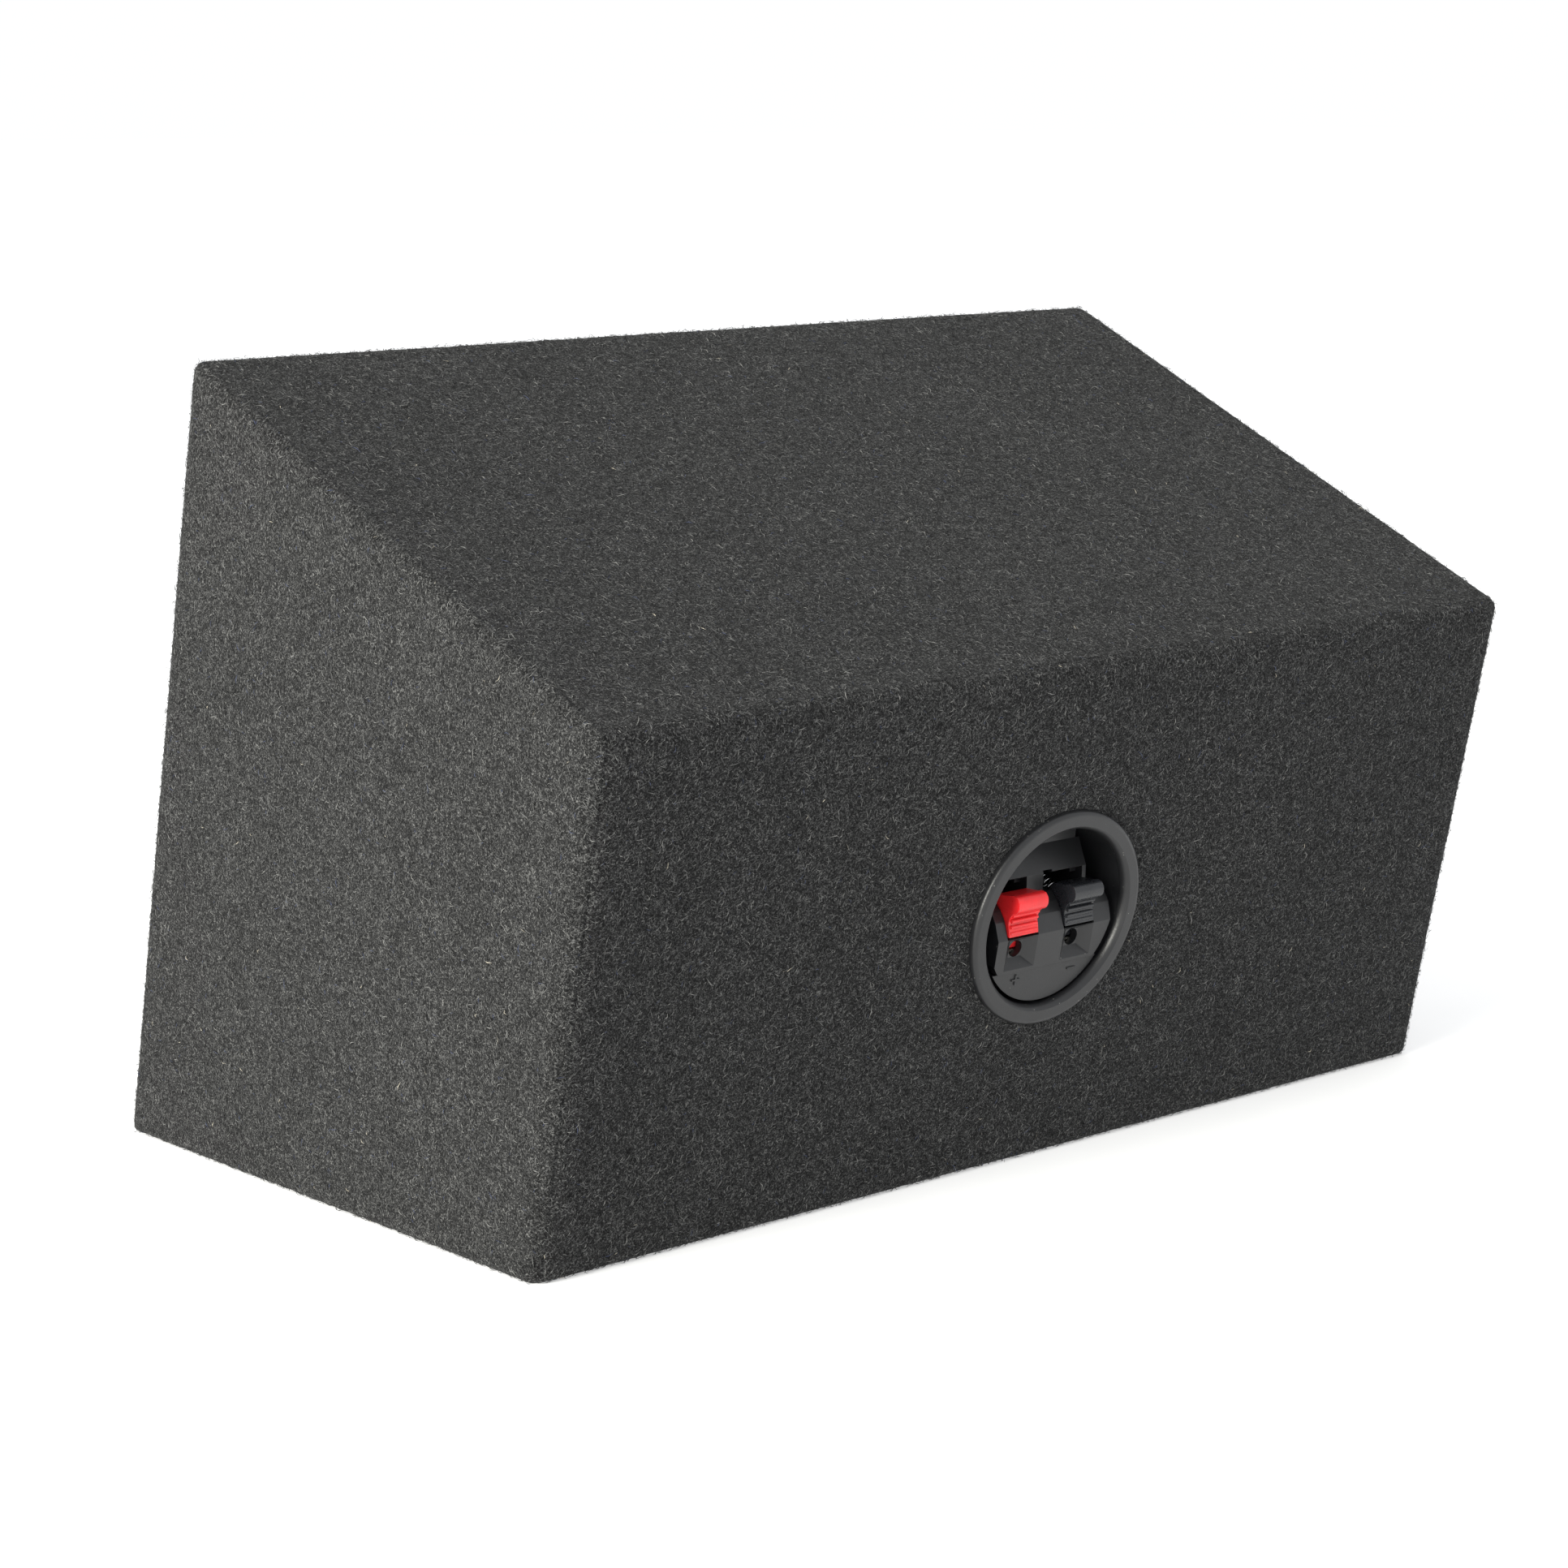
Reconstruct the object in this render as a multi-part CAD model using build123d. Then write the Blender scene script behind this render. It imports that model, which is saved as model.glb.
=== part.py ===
"""Carpeted wedge loudspeaker cabinet, compact passive two-way, with a push-spring terminal cup.

Everything is modelled in the cabinet's own frame, in millimetres: X runs across the width,
Y from the front (grille) to the rear (terminals), Z along the parallel front and rear planes.
At the end every piece is tipped by the taper angle, so that the cabinet lies level on its
tapered bottom, and moved so that the origin is the bottom centre of the box around it.
"""

from build123d import *
import os
from math import asin, atan, cos, degrees, pi, sin, tan

# Driving dimensions, over the carpet
WIDTH = 310.0
FRONT_HEIGHT = 211.0
REAR_HEIGHT = 134.0
DEPTH = 174.0
CARPET = 3.0
BOARD = 15.0

TAPER = atan((FRONT_HEIGHT - REAR_HEIGHT) / 2 / DEPTH)
FRONT = -DEPTH / 2
REAR = DEPTH / 2
SIDE = WIDTH / 2
SKIN = CARPET + BOARD
WOOD_FRONT = FRONT + CARPET
WOOD_REAR = REAR - CARPET
WOOD_SIDE = SIDE - CARPET
INNER_SIDE = SIDE - SKIN
INNER_REAR = REAR - SKIN

# Baffle, set back behind the grille
RECESS = 20.0
BAFFLE_FRONT = FRONT + RECESS
BAFFLE_BACK = BAFFLE_FRONT + BOARD
MOUTH_INSET = SKIN + CARPET
CLEAT = 12.0
CLEAT_BACK = BAFFLE_BACK + CLEAT

# Edge radii over the carpet
REAR_END_RADIUS = 6.0
FRONT_END_RADIUS = 4.0
TOP_EDGE_RADIUS = 3.0
BOTTOM_EDGE_RADIUS = 2.3

# Drivers
WOOFER_X = -52.0
TWEETER_X = 70.0
WOOFER_CUTOUT_R = 62.0
WOOFER_FRAME_R = 75.0
WOOFER_SCREW_R = 69.0
POLE_R = 12.5
TWEETER_FLANGE = 85.0
TWEETER_CUTOUT_R = 37.2
TWEETER_SCREW = 36.0

# Terminal cup, snapped into the rear panel a little off its centre
CUP_X = 2.6
CUP_Z = 0.7
CUP_PROUD = 2.0
CUP_FLANGE_R = 28.5
CUP_RING_INNER_R = 23.9
CUP_BARREL_R = 25.2
CUP_CUTOUT_R = 25.5
CUP_DEPTH = 23.0
CUP_FLOOR = 21.0
LEVER_PITCH = 19.5
LEVER_WIDTH = 10.0
BAY_WIDTH = 10.7
WIRE_HOLE_R = 2.2
WIRE_HOLE_Z = -7.8
THROAT_START = 4.0
THROAT_END = 6.0
PIVOT_DEPTH = 15.0
PIVOT_Z = -9.6
PIN_R = 1.0
PIN_CLEARANCE = 0.05

# Grille
GRILLE_FACE = FRONT + 2.5
SHEET_METAL = 1.2
GRILLE_RIM = 5.0
GRILLE_GAP = 1.0
HOLE_D = 5.0
HOLE_PITCH = 8.0
SPACER_X = 123.5
SPACER_Z = 70.0
SPACER_R = 4.5

# Crossover board on the rear panel
XOVER_X = 82.0
XOVER_SIZE = (56.0, 1.6, 60.0)
XOVER_GAP = 5.0


def half_height(y, inset=0.0):
    """Half the height of the section at depth y, brought in by inset from the sloping faces."""
    return FRONT_HEIGHT / 2 - (y - FRONT) * tan(TAPER) - inset / cos(TAPER)


def prism(points, x0, x1):
    """A side-view outline of (y, z) points, run across the width from x0 to x1."""
    outline = Plane.YZ * make_face(Polyline(*points, close=True))
    return Pos(x0, 0, 0) * extrude(outline, x1 - x0)


def wedge(y0, y1, inset, x0, x1):
    """The whole tapered section between two depths."""
    a = half_height(y0, inset)
    b = half_height(y1, inset)
    return prism([(y0, -a), (y1, -b), (y1, b), (y0, a)], x0, x1)


def sloping_board(side, y0, y1, outer, inner, x0, x1):
    """A board that follows the tapered top (side = 1) or bottom (side = -1)."""
    points = [
        (y0, side * half_height(y0, outer)),
        (y1, side * half_height(y1, outer)),
        (y1, side * half_height(y1, inner)),
        (y0, side * half_height(y0, inner)),
    ]
    return prism(points, x0, x1)


def rod(radius, y0, y1, x=0.0, z=0.0):
    """A cylinder along Y."""
    turned = Rot(90, 0, 0) * Cylinder(radius, abs(y1 - y0))
    return Pos(x, (y0 + y1) / 2, z) * turned


def block(x0, x1, y0, y1, z0, z1):
    """A box by its faces."""
    box = Box(abs(x1 - x0), abs(y1 - y0), abs(z1 - z0))
    return Pos((x0 + x1) / 2, (y0 + y1) / 2, (z0 + z1) / 2) * box


def spun(edges, x=0.0, z=0.0):
    """A closed chain of edges, drawn as (radius, depth), turned about an axis along Y."""
    return Pos(x, 0, z) * revolve(make_face(edges), Axis.Y)


def spun_outline(points, x=0.0, z=0.0):
    return spun(Polyline(*points, close=True).edges(), x, z)


def screw(x, z, head_y, head_r, head_h, shank_r, length):
    """A cross-recessed pan-head screw that points towards +Y."""
    edges = [
        Line((0, head_y - head_h), (head_r * 0.5, head_y - head_h)),
        ThreePointArc(
            (head_r * 0.5, head_y - head_h),
            (head_r * 0.87, head_y - head_h * 0.72),
            (head_r, head_y),
        ),
        Line((head_r, head_y), (shank_r, head_y)),
        Line((shank_r, head_y), (shank_r, head_y + length - shank_r * 1.6)),
        Line((shank_r, head_y + length - shank_r * 1.6), (0, head_y + length)),
        Line((0, head_y + length), (0, head_y - head_h)),
    ]
    body = spun(edges, x, z)
    arm = head_r * 0.95
    slot = head_r * 0.22
    cross = Box(arm, head_h, slot) + Box(slot, head_h, arm)
    return body - Pos(x, head_y - head_h, z) * cross


def group(pieces):
    """Loose pieces that share one node."""
    return Compound([solid for piece in pieces for solid in piece.solids()])


def cap(radius, height, base_y, x):
    """A solid spherical cap that bulges towards -Y from a flat base at base_y."""
    sphere_r = (radius**2 + height**2) / (2 * height)
    half_angle = asin(radius / sphere_r) / 2
    mid = (sphere_r * sin(half_angle), base_y - height + sphere_r * (1 - cos(half_angle)))
    edges = [
        ThreePointArc((radius, base_y), mid, (0, base_y - height)),
        Line((0, base_y - height), (0, base_y)),
        Line((0, base_y), (radius, base_y)),
    ]
    return spun(edges, x)


def dome(radius, height, base_y, thickness, x=0.0):
    """A thin spherical cap, open at its flat side."""
    return cap(radius, height, base_y, x) - cap(radius - thickness, height - thickness, base_y, x)


def bend_radii(points):
    """The largest arcs that the runs on both sides of each bend leave room for."""
    radii = []
    for before, here, after in zip(points, points[1:], points[2:]):
        into = Vector(*here) - Vector(*before)
        out = Vector(*after) - Vector(*here)
        turn = into.get_angle(out) * pi / 180
        shorter = min(into.length, out.length)
        radii.append(min(0.45 * shorter / tan(turn / 2), 60.0))
    return radii


def wire(points, r):
    """A wire of straight runs joined by tangent arcs."""
    path = FilletPolyline(*points, radius=bend_radii(points))
    start = Plane(origin=path @ 0, z_dir=path % 0)
    return sweep(start * Circle(r), path=path)


# ------------------------------------------------------------------ cabinet


def envelope():
    """The outside of the carpeted cabinet, with its rounded edges."""
    body = wedge(FRONT, REAR, 0, -SIDE, SIDE)
    body = fillet(body.edges().filter_by(Axis.Z).group_by(Axis.Y)[-1], REAR_END_RADIUS)
    body = fillet(body.edges().filter_by(Axis.Z).group_by(Axis.Y)[0], FRONT_END_RADIUS)
    across = body.edges().filter_by(Axis.X)
    body = fillet(across.filter_by(lambda e: e.center().Z > 0), TOP_EDGE_RADIUS)
    across = body.edges().filter_by(Axis.X)
    return fillet(across.filter_by(lambda e: e.center().Z < 0), BOTTOM_EDGE_RADIUS)


def wood_block():
    """The outside of the bare wooden box, its rear ends eased to suit the carpet."""
    body = wedge(WOOD_FRONT, WOOD_REAR, CARPET, -WOOD_SIDE, WOOD_SIDE)
    upright = body.edges().filter_by(Axis.Z)
    rear = upright.filter_by(lambda e: e.center().Y > 0)
    return fillet(rear, REAR_END_RADIUS - CARPET)


def ends(x0, x1):
    """The two spans of width, at the left and at the right, that end boards fill."""
    return {"left": (-x1, -x0), "right": (x0, x1)}


def brad_places():
    """Where the panel brads go: (side of the width, depth, side of the height)."""
    return [(a, y, b) for a in (-1, 1) for y in (-60.0, 0.0, 55.0) for b in (-1, 1)]


BRAD_R = 0.8
BRAD_LENGTH = 35.0


def brad(a, y, b):
    z = b * half_height(y, CARPET + BOARD / 2)
    shank = Rot(0, 90, 0) * Cylinder(BRAD_R, BRAD_LENGTH)
    return Pos(a * (WOOD_SIDE - BRAD_LENGTH / 2), y, z) * shank


def panels():
    shaped = wood_block()
    brads = [brad(*place) for place in brad_places()]
    made = {}
    for side, name in ((1, "panel_top"), (-1, "panel_bottom")):
        made[name] = sloping_board(
            side, WOOD_FRONT, WOOD_REAR, CARPET, SKIN, -INNER_SIDE, INNER_SIDE
        )
    rear = wedge(INNER_REAR, WOOD_REAR, SKIN, -INNER_SIDE, INNER_SIDE)
    cutout = rod(CUP_CUTOUT_R, INNER_REAR - 1, WOOD_REAR + 1, CUP_X, CUP_Z)
    rear = rear - cutout
    for x, z in xover_corners():
        rear = rear - rod(XOVER_SCREW_R, INNER_REAR - 1, INNER_REAR + XOVER_BITE, x, z)
    made["panel_rear"] = rear
    for name, (x0, x1) in ends(INNER_SIDE, WOOD_SIDE).items():
        made["panel_end_" + name] = shaped & wedge(WOOD_FRONT, WOOD_REAR, CARPET, x0, x1)
    for name in ("panel_top", "panel_bottom", "panel_end_left", "panel_end_right"):
        made[name] = made[name] - brads
    made["panel_brads"] = group(brads)
    return made


def mouth():
    """The recess in front of the baffle, as the carpet leaves it."""
    return wedge(FRONT - 5, BAFFLE_FRONT, MOUTH_INSET, CARPET - INNER_SIDE, INNER_SIDE - CARPET)


def carpets():
    """Five pieces of 3 mm carpet, butted along the edges; four turn in over the front edges."""
    lining = wedge(WOOD_FRONT, BAFFLE_FRONT, SKIN, -INNER_SIDE, INNER_SIDE)
    shell = envelope() - wood_block() + lining - mouth()
    cup_hole = rod(CUP_CUTOUT_R, INNER_REAR, REAR + 1, CUP_X, CUP_Z)
    beyond = WIDTH
    outside = ends(WOOD_SIDE, beyond)
    made = {}
    rest = shell
    for name, (x0, x1) in ends(INNER_SIDE - CARPET, beyond).items():
        outer = block(*outside[name], -beyond, beyond, -beyond, beyond)
        turned_in = wedge(FRONT - 1, BAFFLE_FRONT, SKIN, x0, x1)
        zone = outer + turned_in
        made["carpet_end_" + name] = shell & zone
        rest = rest - zone
    eased_corners = wedge(WOOD_REAR - REAR_END_RADIUS, WOOD_REAR, CARPET, -WOOD_SIDE, WOOD_SIDE)
    rear_zone = block(-beyond, beyond, WOOD_REAR, beyond, -beyond, beyond) + eased_corners
    made["carpet_rear"] = (rest & rear_zone) - cup_hole
    rest = rest - rear_zone
    made["carpet_top"] = rest & block(-beyond, beyond, -beyond, WOOD_REAR, 0, beyond)
    made["carpet_bottom"] = rest & block(-beyond, beyond, -beyond, WOOD_REAR, -beyond, 0)
    return made


def baffle_corners():
    """Where the baffle is screwed to its cleats."""
    z = half_height(BAFFLE_BACK, SKIN + CLEAT / 2) - 1.0
    return [(x, s * z) for s in (-1, 1) for x in (-110.0, 22.0, 110.0)]


def baffle_and_cleats():
    made = {}
    baffle = wedge(BAFFLE_FRONT, BAFFLE_BACK, SKIN, -INNER_SIDE, INNER_SIDE)
    baffle = baffle - rod(WOOFER_CUTOUT_R, BAFFLE_FRONT - 1, BAFFLE_BACK + 1, WOOFER_X)
    baffle = baffle - rod(TWEETER_CUTOUT_R, BAFFLE_FRONT - 1, BAFFLE_BACK + 1, TWEETER_X)
    holes = [rod(1.6, BAFFLE_FRONT - 1, BAFFLE_BACK - 0.2, x, z) for x, z in woofer_corners()]
    holes += [rod(1.3, BAFFLE_FRONT - 1, BAFFLE_FRONT + 12, x, z) for x, z in tweeter_corners()]
    holes += [rod(1.6, BAFFLE_FRONT - 1, BAFFLE_FRONT + 13, x, z) for x, z in grille_corners()]
    fixing = [rod(1.6, BAFFLE_FRONT - 1, CLEAT_BACK - 1, x, z) for x, z in baffle_corners()]
    sinks = [rod(3.6, BAFFLE_FRONT - 1, BAFFLE_FRONT + 3, x, z) for x, z in baffle_corners()]
    made["baffle"] = baffle - holes - fixing - sinks
    inner = SKIN + CLEAT
    for side, name in ((1, "top"), (-1, "bottom")):
        cleat = sloping_board(side, BAFFLE_BACK, CLEAT_BACK, SKIN, inner, -INNER_SIDE, INNER_SIDE)
        made["baffle_cleat_" + name] = cleat - fixing
    uprights = []
    long_edges = []
    for x0, x1 in ends(INNER_SIDE - CLEAT, INNER_SIDE).values():
        uprights.append(wedge(BAFFLE_BACK, CLEAT_BACK, inner, x0, x1))
        for side in (1, -1):
            long_edges.append(sloping_board(side, CLEAT_BACK, INNER_REAR, SKIN, inner, x0, x1))
    made["baffle_cleats_upright"] = group(uprights)
    made["edge_cleats"] = group(long_edges)
    screws = []
    for x, z in baffle_corners():
        screws.append(screw(x, z, BAFFLE_FRONT + 3, 3.5, 2.4, 1.6, 22.0))
    made["baffle_screws"] = group(screws)
    return made


FELT = 8.0


def felts():
    made = {}
    reach = INNER_SIDE - CLEAT
    for side, name in ((1, "damping_felt_top"), (-1, "damping_felt_bottom")):
        made[name] = sloping_board(
            side, CLEAT_BACK + 2, INNER_REAR - 2, SKIN, SKIN + FELT, -reach, reach
        )
    return made


# ------------------------------------------------------------------ woofer


def woofer_corners():
    """Four woofer screws, on the diagonals."""
    step = WOOFER_SCREW_R * cos(pi / 4)
    return [(WOOFER_X + a * step, b * step) for a in (-1, 1) for b in (-1, 1)]


SHEET = 1.5
LEDGE_Y = -33.0
PLATE_Y = -25.5
PLATE_T = 5.0
MAGNET_T = 14.0
CONE_R = 53.0
WOOFER_TAB_X = 6.0
WOOFER_TAB_Z = -56.0
WOOFER_TAB_END = -20.0
CONE_FRONT = BAFFLE_FRONT - 3.0
NECK_R = 13.1
NECK_Y = -37.0


def woofer_basket():
    """Pressed steel frame: flange, six-windowed wall, spider ledge and the plate it sits on."""
    flange = BAFFLE_FRONT - SHEET
    points = [
        (WOOFER_FRAME_R, flange - SHEET),
        (61.0, flange - SHEET),
        (58.0, -50.0),
        (44.0, -36.0),
        (44.0, LEDGE_Y),
        (39.0, LEDGE_Y),
        (39.0, PLATE_Y - SHEET),
        (15.0, PLATE_Y - SHEET),
        (15.0, PLATE_Y),
        (40.5, PLATE_Y),
        (40.5, LEDGE_Y + SHEET),
        (45.5, LEDGE_Y + SHEET),
        (45.5, -35.4),
        (59.6, -49.5),
        (61.8, flange),
        (61.8, BAFFLE_FRONT),
        (WOOFER_FRAME_R, BAFFLE_FRONT),
    ]
    shell = spun_outline(points)
    window = Pos(0, -43.0, 53.0) * Box(32, 12, 16)
    for k in range(6):
        shell = shell - Rot(0, 60 * k + 60, 0) * window
    shell = Pos(WOOFER_X, 0, 0) * shell
    for x, z in woofer_corners():
        shell = shell - rod(2.2, CONE_FRONT - 6, BAFFLE_FRONT + 1, x, z)
    return shell


def cone_back(radius):
    """Depth of the back of the cone at a radius."""
    share = (radius - NECK_R) / (CONE_R - NECK_R)
    return NECK_Y + 1.0 + share * (CONE_FRONT + 0.8 - NECK_Y - 1.0)


def woofer():
    x = WOOFER_X
    made = {"woofer_basket": woofer_basket()}
    made["woofer_cone"] = spun_outline(
        [
            (NECK_R, NECK_Y),
            (CONE_R, CONE_FRONT),
            (CONE_R + 1.0, CONE_FRONT),
            (CONE_R + 1.0, CONE_FRONT + 0.8),
            (CONE_R, CONE_FRONT + 0.8),
            (NECK_R, NECK_Y + 1.0),
        ],
        x,
    )
    roll = 0.7
    land = CONE_FRONT - roll
    a, b, c = CONE_R - 2.0, CONE_R + 0.6, 61.4
    mid = (b + c) / 2
    rise = (c - b) / 2
    cone_face = NECK_Y + (a - NECK_R) / (CONE_R - NECK_R) * (CONE_FRONT - NECK_Y)
    made["woofer_surround"] = spun(
        [
            Line((a, cone_face), (a, land - 0.2)),
            Line((a, land - 0.2), (b, land)),
            ThreePointArc((b, land), (mid, land - rise), (c, land)),
            Line((c, land), (66.0, land)),
            Line((66.0, land), (66.0, CONE_FRONT)),
            Line((66.0, CONE_FRONT), (c - roll, CONE_FRONT)),
            ThreePointArc(
                (c - roll, CONE_FRONT),
                (mid, CONE_FRONT - rise + roll),
                (b + roll, CONE_FRONT),
            ),
            Line((b + roll, CONE_FRONT), (CONE_R, CONE_FRONT)),
            Line((CONE_R, CONE_FRONT), (a, cone_face)),
        ],
        x,
    )
    made["woofer_trim_ring"] = spun_outline(
        [
            (62.4, land),
            (66.0, land),
            (66.0, CONE_FRONT),
            (74.6, CONE_FRONT),
            (74.6, land - 2.0),
            (62.4, land - 2.0),
        ],
        x,
    )
    for px, pz in woofer_corners():
        made["woofer_trim_ring"] -= rod(2.2, CONE_FRONT - 6, BAFFLE_FRONT + 1, px, pz)
    cap_r = 15.5
    cap_y = NECK_Y + (cap_r - NECK_R) / (CONE_R - NECK_R) * (CONE_FRONT - NECK_Y)
    made["woofer_dust_cap"] = dome(cap_r, 6.6, cap_y, 0.6, x)
    former = [(12.8, NECK_Y - 0.4), (NECK_R, NECK_Y - 0.4), (NECK_R, -17.5), (12.8, -17.5)]
    made["woofer_former"] = spun_outline(former, x)
    made["woofer_coil"] = spun_outline(
        [(NECK_R, -27.0), (13.6, -27.0), (13.6, -19.0), (NECK_R, -19.0)], x
    )
    ripple = [(NECK_R, LEDGE_Y - 0.5), (16.0, LEDGE_Y - 0.5)]
    for k in range(6):
        ripple.append((18.0 + 3.6 * k, LEDGE_Y - 2.0))
        ripple.append((19.8 + 3.6 * k, LEDGE_Y - 0.5))
    ripple.append((43.6, LEDGE_Y - 0.5))
    under = [(r, y + 0.5) for r, y in reversed(ripple)]
    made["woofer_spider"] = spun_outline(ripple + under, x)
    back = PLATE_Y + PLATE_T + MAGNET_T
    made["woofer_top_plate"] = rod(37.0, PLATE_Y, PLATE_Y + PLATE_T, x) - rod(
        14.0, PLATE_Y - 1, PLATE_Y + PLATE_T + 1, x
    )
    made["woofer_magnet"] = rod(42.0, PLATE_Y + PLATE_T, back, x) - rod(19.0, PLATE_Y, back + 1, x)
    yoke = rod(37.0, back, back + PLATE_T, x) + rod(POLE_R, PLATE_Y, back + 1, x)
    made["woofer_yoke"] = yoke
    plate_y = LEDGE_Y + SHEET
    strip = block(x - 11, x + 11, plate_y, plate_y + 1.6, -62, -41)
    strip = fillet(strip.edges().filter_by(Axis.Y), 2.0)
    made["woofer_terminal_strip"] = strip
    tabs = []
    for side in (-1, 1):
        mid = x + side * WOOFER_TAB_X
        low, high = WOOFER_TAB_Z - 0.4, WOOFER_TAB_Z + 0.4
        tabs.append(block(mid - 2.4, mid + 2.4, plate_y + 1.6, WOOFER_TAB_END, low, high))
    made["woofer_tabs"] = group(tabs)
    leads = []
    for side in (-1, 1):
        px = x + side * WOOFER_TAB_X
        meet = 30.0
        points = [
            (px, plate_y, -49.5),
            (px, -44.0, -49.5),
            (px, -50.0, -40.0),
            (px, cone_back(meet) + 0.3, -meet),
        ]
        leads.append(wire(points, 0.5))
    made["woofer_tinsel_leads"] = group(leads)
    screws = [screw(px, pz, land - 2.0, 3.7, 2.4, 1.6, 20.0) for px, pz in woofer_corners()]
    made["woofer_screws"] = group(screws)
    return made


# ------------------------------------------------------------------ tweeter


def tweeter_corners():
    return [
        (TWEETER_X + a * TWEETER_SCREW, b * TWEETER_SCREW) for a in (-1, 1) for b in (-1, 1)
    ]


def tweeter():
    x = TWEETER_X
    half = TWEETER_FLANGE / 2
    made = {}
    pad = block(x - half, x + half, BAFFLE_FRONT - 1, BAFFLE_FRONT, -half, half)
    pad = fillet(pad.edges().filter_by(Axis.Y), 6.0)
    pad = pad - rod(TWEETER_CUTOUT_R, BAFFLE_FRONT - 2, BAFFLE_FRONT + 1, x)
    plate_front = BAFFLE_FRONT - 4.5
    plate = block(x - half, x + half, plate_front, BAFFLE_FRONT - 1, -half, half)
    plate = fillet(plate.edges().filter_by(Axis.Y), 6.0)
    plate = plate - rod(36.0, plate_front - 1, BAFFLE_FRONT, x)
    throat = 8.0
    throat_y = -38.0
    flare = spun(
        [
            Line((36.5, BAFFLE_FRONT - 1), (36.5, plate_front)),
            Line((36.5, plate_front), (34.0, plate_front)),
            ThreePointArc((34.0, plate_front), (16.0, -58.0), (throat, throat_y)),
            Line((throat, throat_y), (24.0, throat_y)),
            Line((24.0, throat_y), (24.0, throat_y - 3.0)),
            Line((24.0, throat_y - 3.0), (10.8, throat_y - 3.0)),
            ThreePointArc((10.8, throat_y - 3.0), (17.8, -56.5), (36.5, BAFFLE_FRONT - 1)),
        ],
        x,
    )
    horn = plate + flare
    for px, pz in tweeter_corners():
        hole = rod(1.8, plate_front - 1, BAFFLE_FRONT + 1, px, pz)
        horn = horn - hole
        pad = pad - hole
    made["tweeter_gasket"] = pad
    made["tweeter_horn"] = horn
    made["tweeter_can"] = spun_outline(
        [
            (24.0, throat_y),
            (24.0, -16.0),
            (0, -16.0),
            (0, -18.0),
            (22.0, -18.0),
            (22.0, throat_y),
        ],
        x,
    )
    made["tweeter_magnet"] = rod(17.0, -32.0, -18.0, x)
    rim_y = -34.4
    skirt = rod(12.0, rim_y, -32.0, x) - rod(11.4, rim_y - 1, -31.0, x)
    surround = rod(17.0, -32.6, -32.0, x) - rod(11.9, -33.0, -31.0, x)
    made["tweeter_diaphragm"] = dome(12.0, 3.4, rim_y, 0.5, x) + skirt + surround
    screws = [screw(px, pz, plate_front, 3.2, 2.0, 1.3, 16.0) for px, pz in tweeter_corners()]
    made["tweeter_screws"] = group(screws)
    return made


# ------------------------------------------------------------------ crossover and wiring

XOVER_SCREW_R = 1.4
XOVER_BITE = 9.0
CAPACITOR_R = 7.0
CAPACITOR_LENGTH = 34.0
CAPACITOR_SHIFT = 14.0
COIL_SHIFT = 12.0
COIL_HEIGHT = 12.5
BOBBIN_R = 12.0
BOBBIN_CORE_R = 5.0
BOBBIN_CHEEK = 1.5


def xover_corners():
    dx = XOVER_SIZE[0] / 2 - 4
    dz = XOVER_SIZE[2] / 2 - 4
    return [(XOVER_X + a * dx, b * dz) for a in (-1, 1) for b in (-1, 1)]


def crossover():
    made = {}
    half_x = XOVER_SIZE[0] / 2
    half_z = XOVER_SIZE[2] / 2
    face = INNER_REAR - XOVER_GAP
    front = face - XOVER_SIZE[1]
    board = block(XOVER_X - half_x, XOVER_X + half_x, front, face, -half_z, half_z)
    spacers = []
    screws = []
    for x, z in xover_corners():
        hole = rod(XOVER_SCREW_R, front - 1, INNER_REAR + 1, x, z)
        board = board - hole
        spacers.append(rod(3.0, face, INNER_REAR, x, z) - hole)
        length = XOVER_GAP + XOVER_SIZE[1] + XOVER_BITE
        screws.append(screw(x, z, front, 2.8, 1.8, XOVER_SCREW_R, length))
    made["crossover_board"] = board
    made["crossover_spacers"] = group(spacers)
    made["crossover_screws"] = group(screws)
    can = Cylinder(CAPACITOR_R, CAPACITOR_LENGTH)
    can = fillet(can.edges(), 1.0)
    made["crossover_capacitor"] = Pos(XOVER_X + CAPACITOR_SHIFT, front - CAPACITOR_R, 0) * can
    coil_x = XOVER_X - COIL_SHIFT
    near = front - BOBBIN_CHEEK
    top = near - COIL_HEIGHT
    bobbin = rod(BOBBIN_R, near, front, coil_x) + rod(BOBBIN_CORE_R, top, front, coil_x)
    made["crossover_bobbin"] = bobbin + rod(BOBBIN_R, top - BOBBIN_CHEEK, top, coil_x)
    winding = rod(BOBBIN_R - 1.0, top, near, coil_x)
    made["crossover_coil"] = winding - rod(BOBBIN_CORE_R, top - 1, front, coil_x)
    return made


LEAD_R = 1.1


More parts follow.
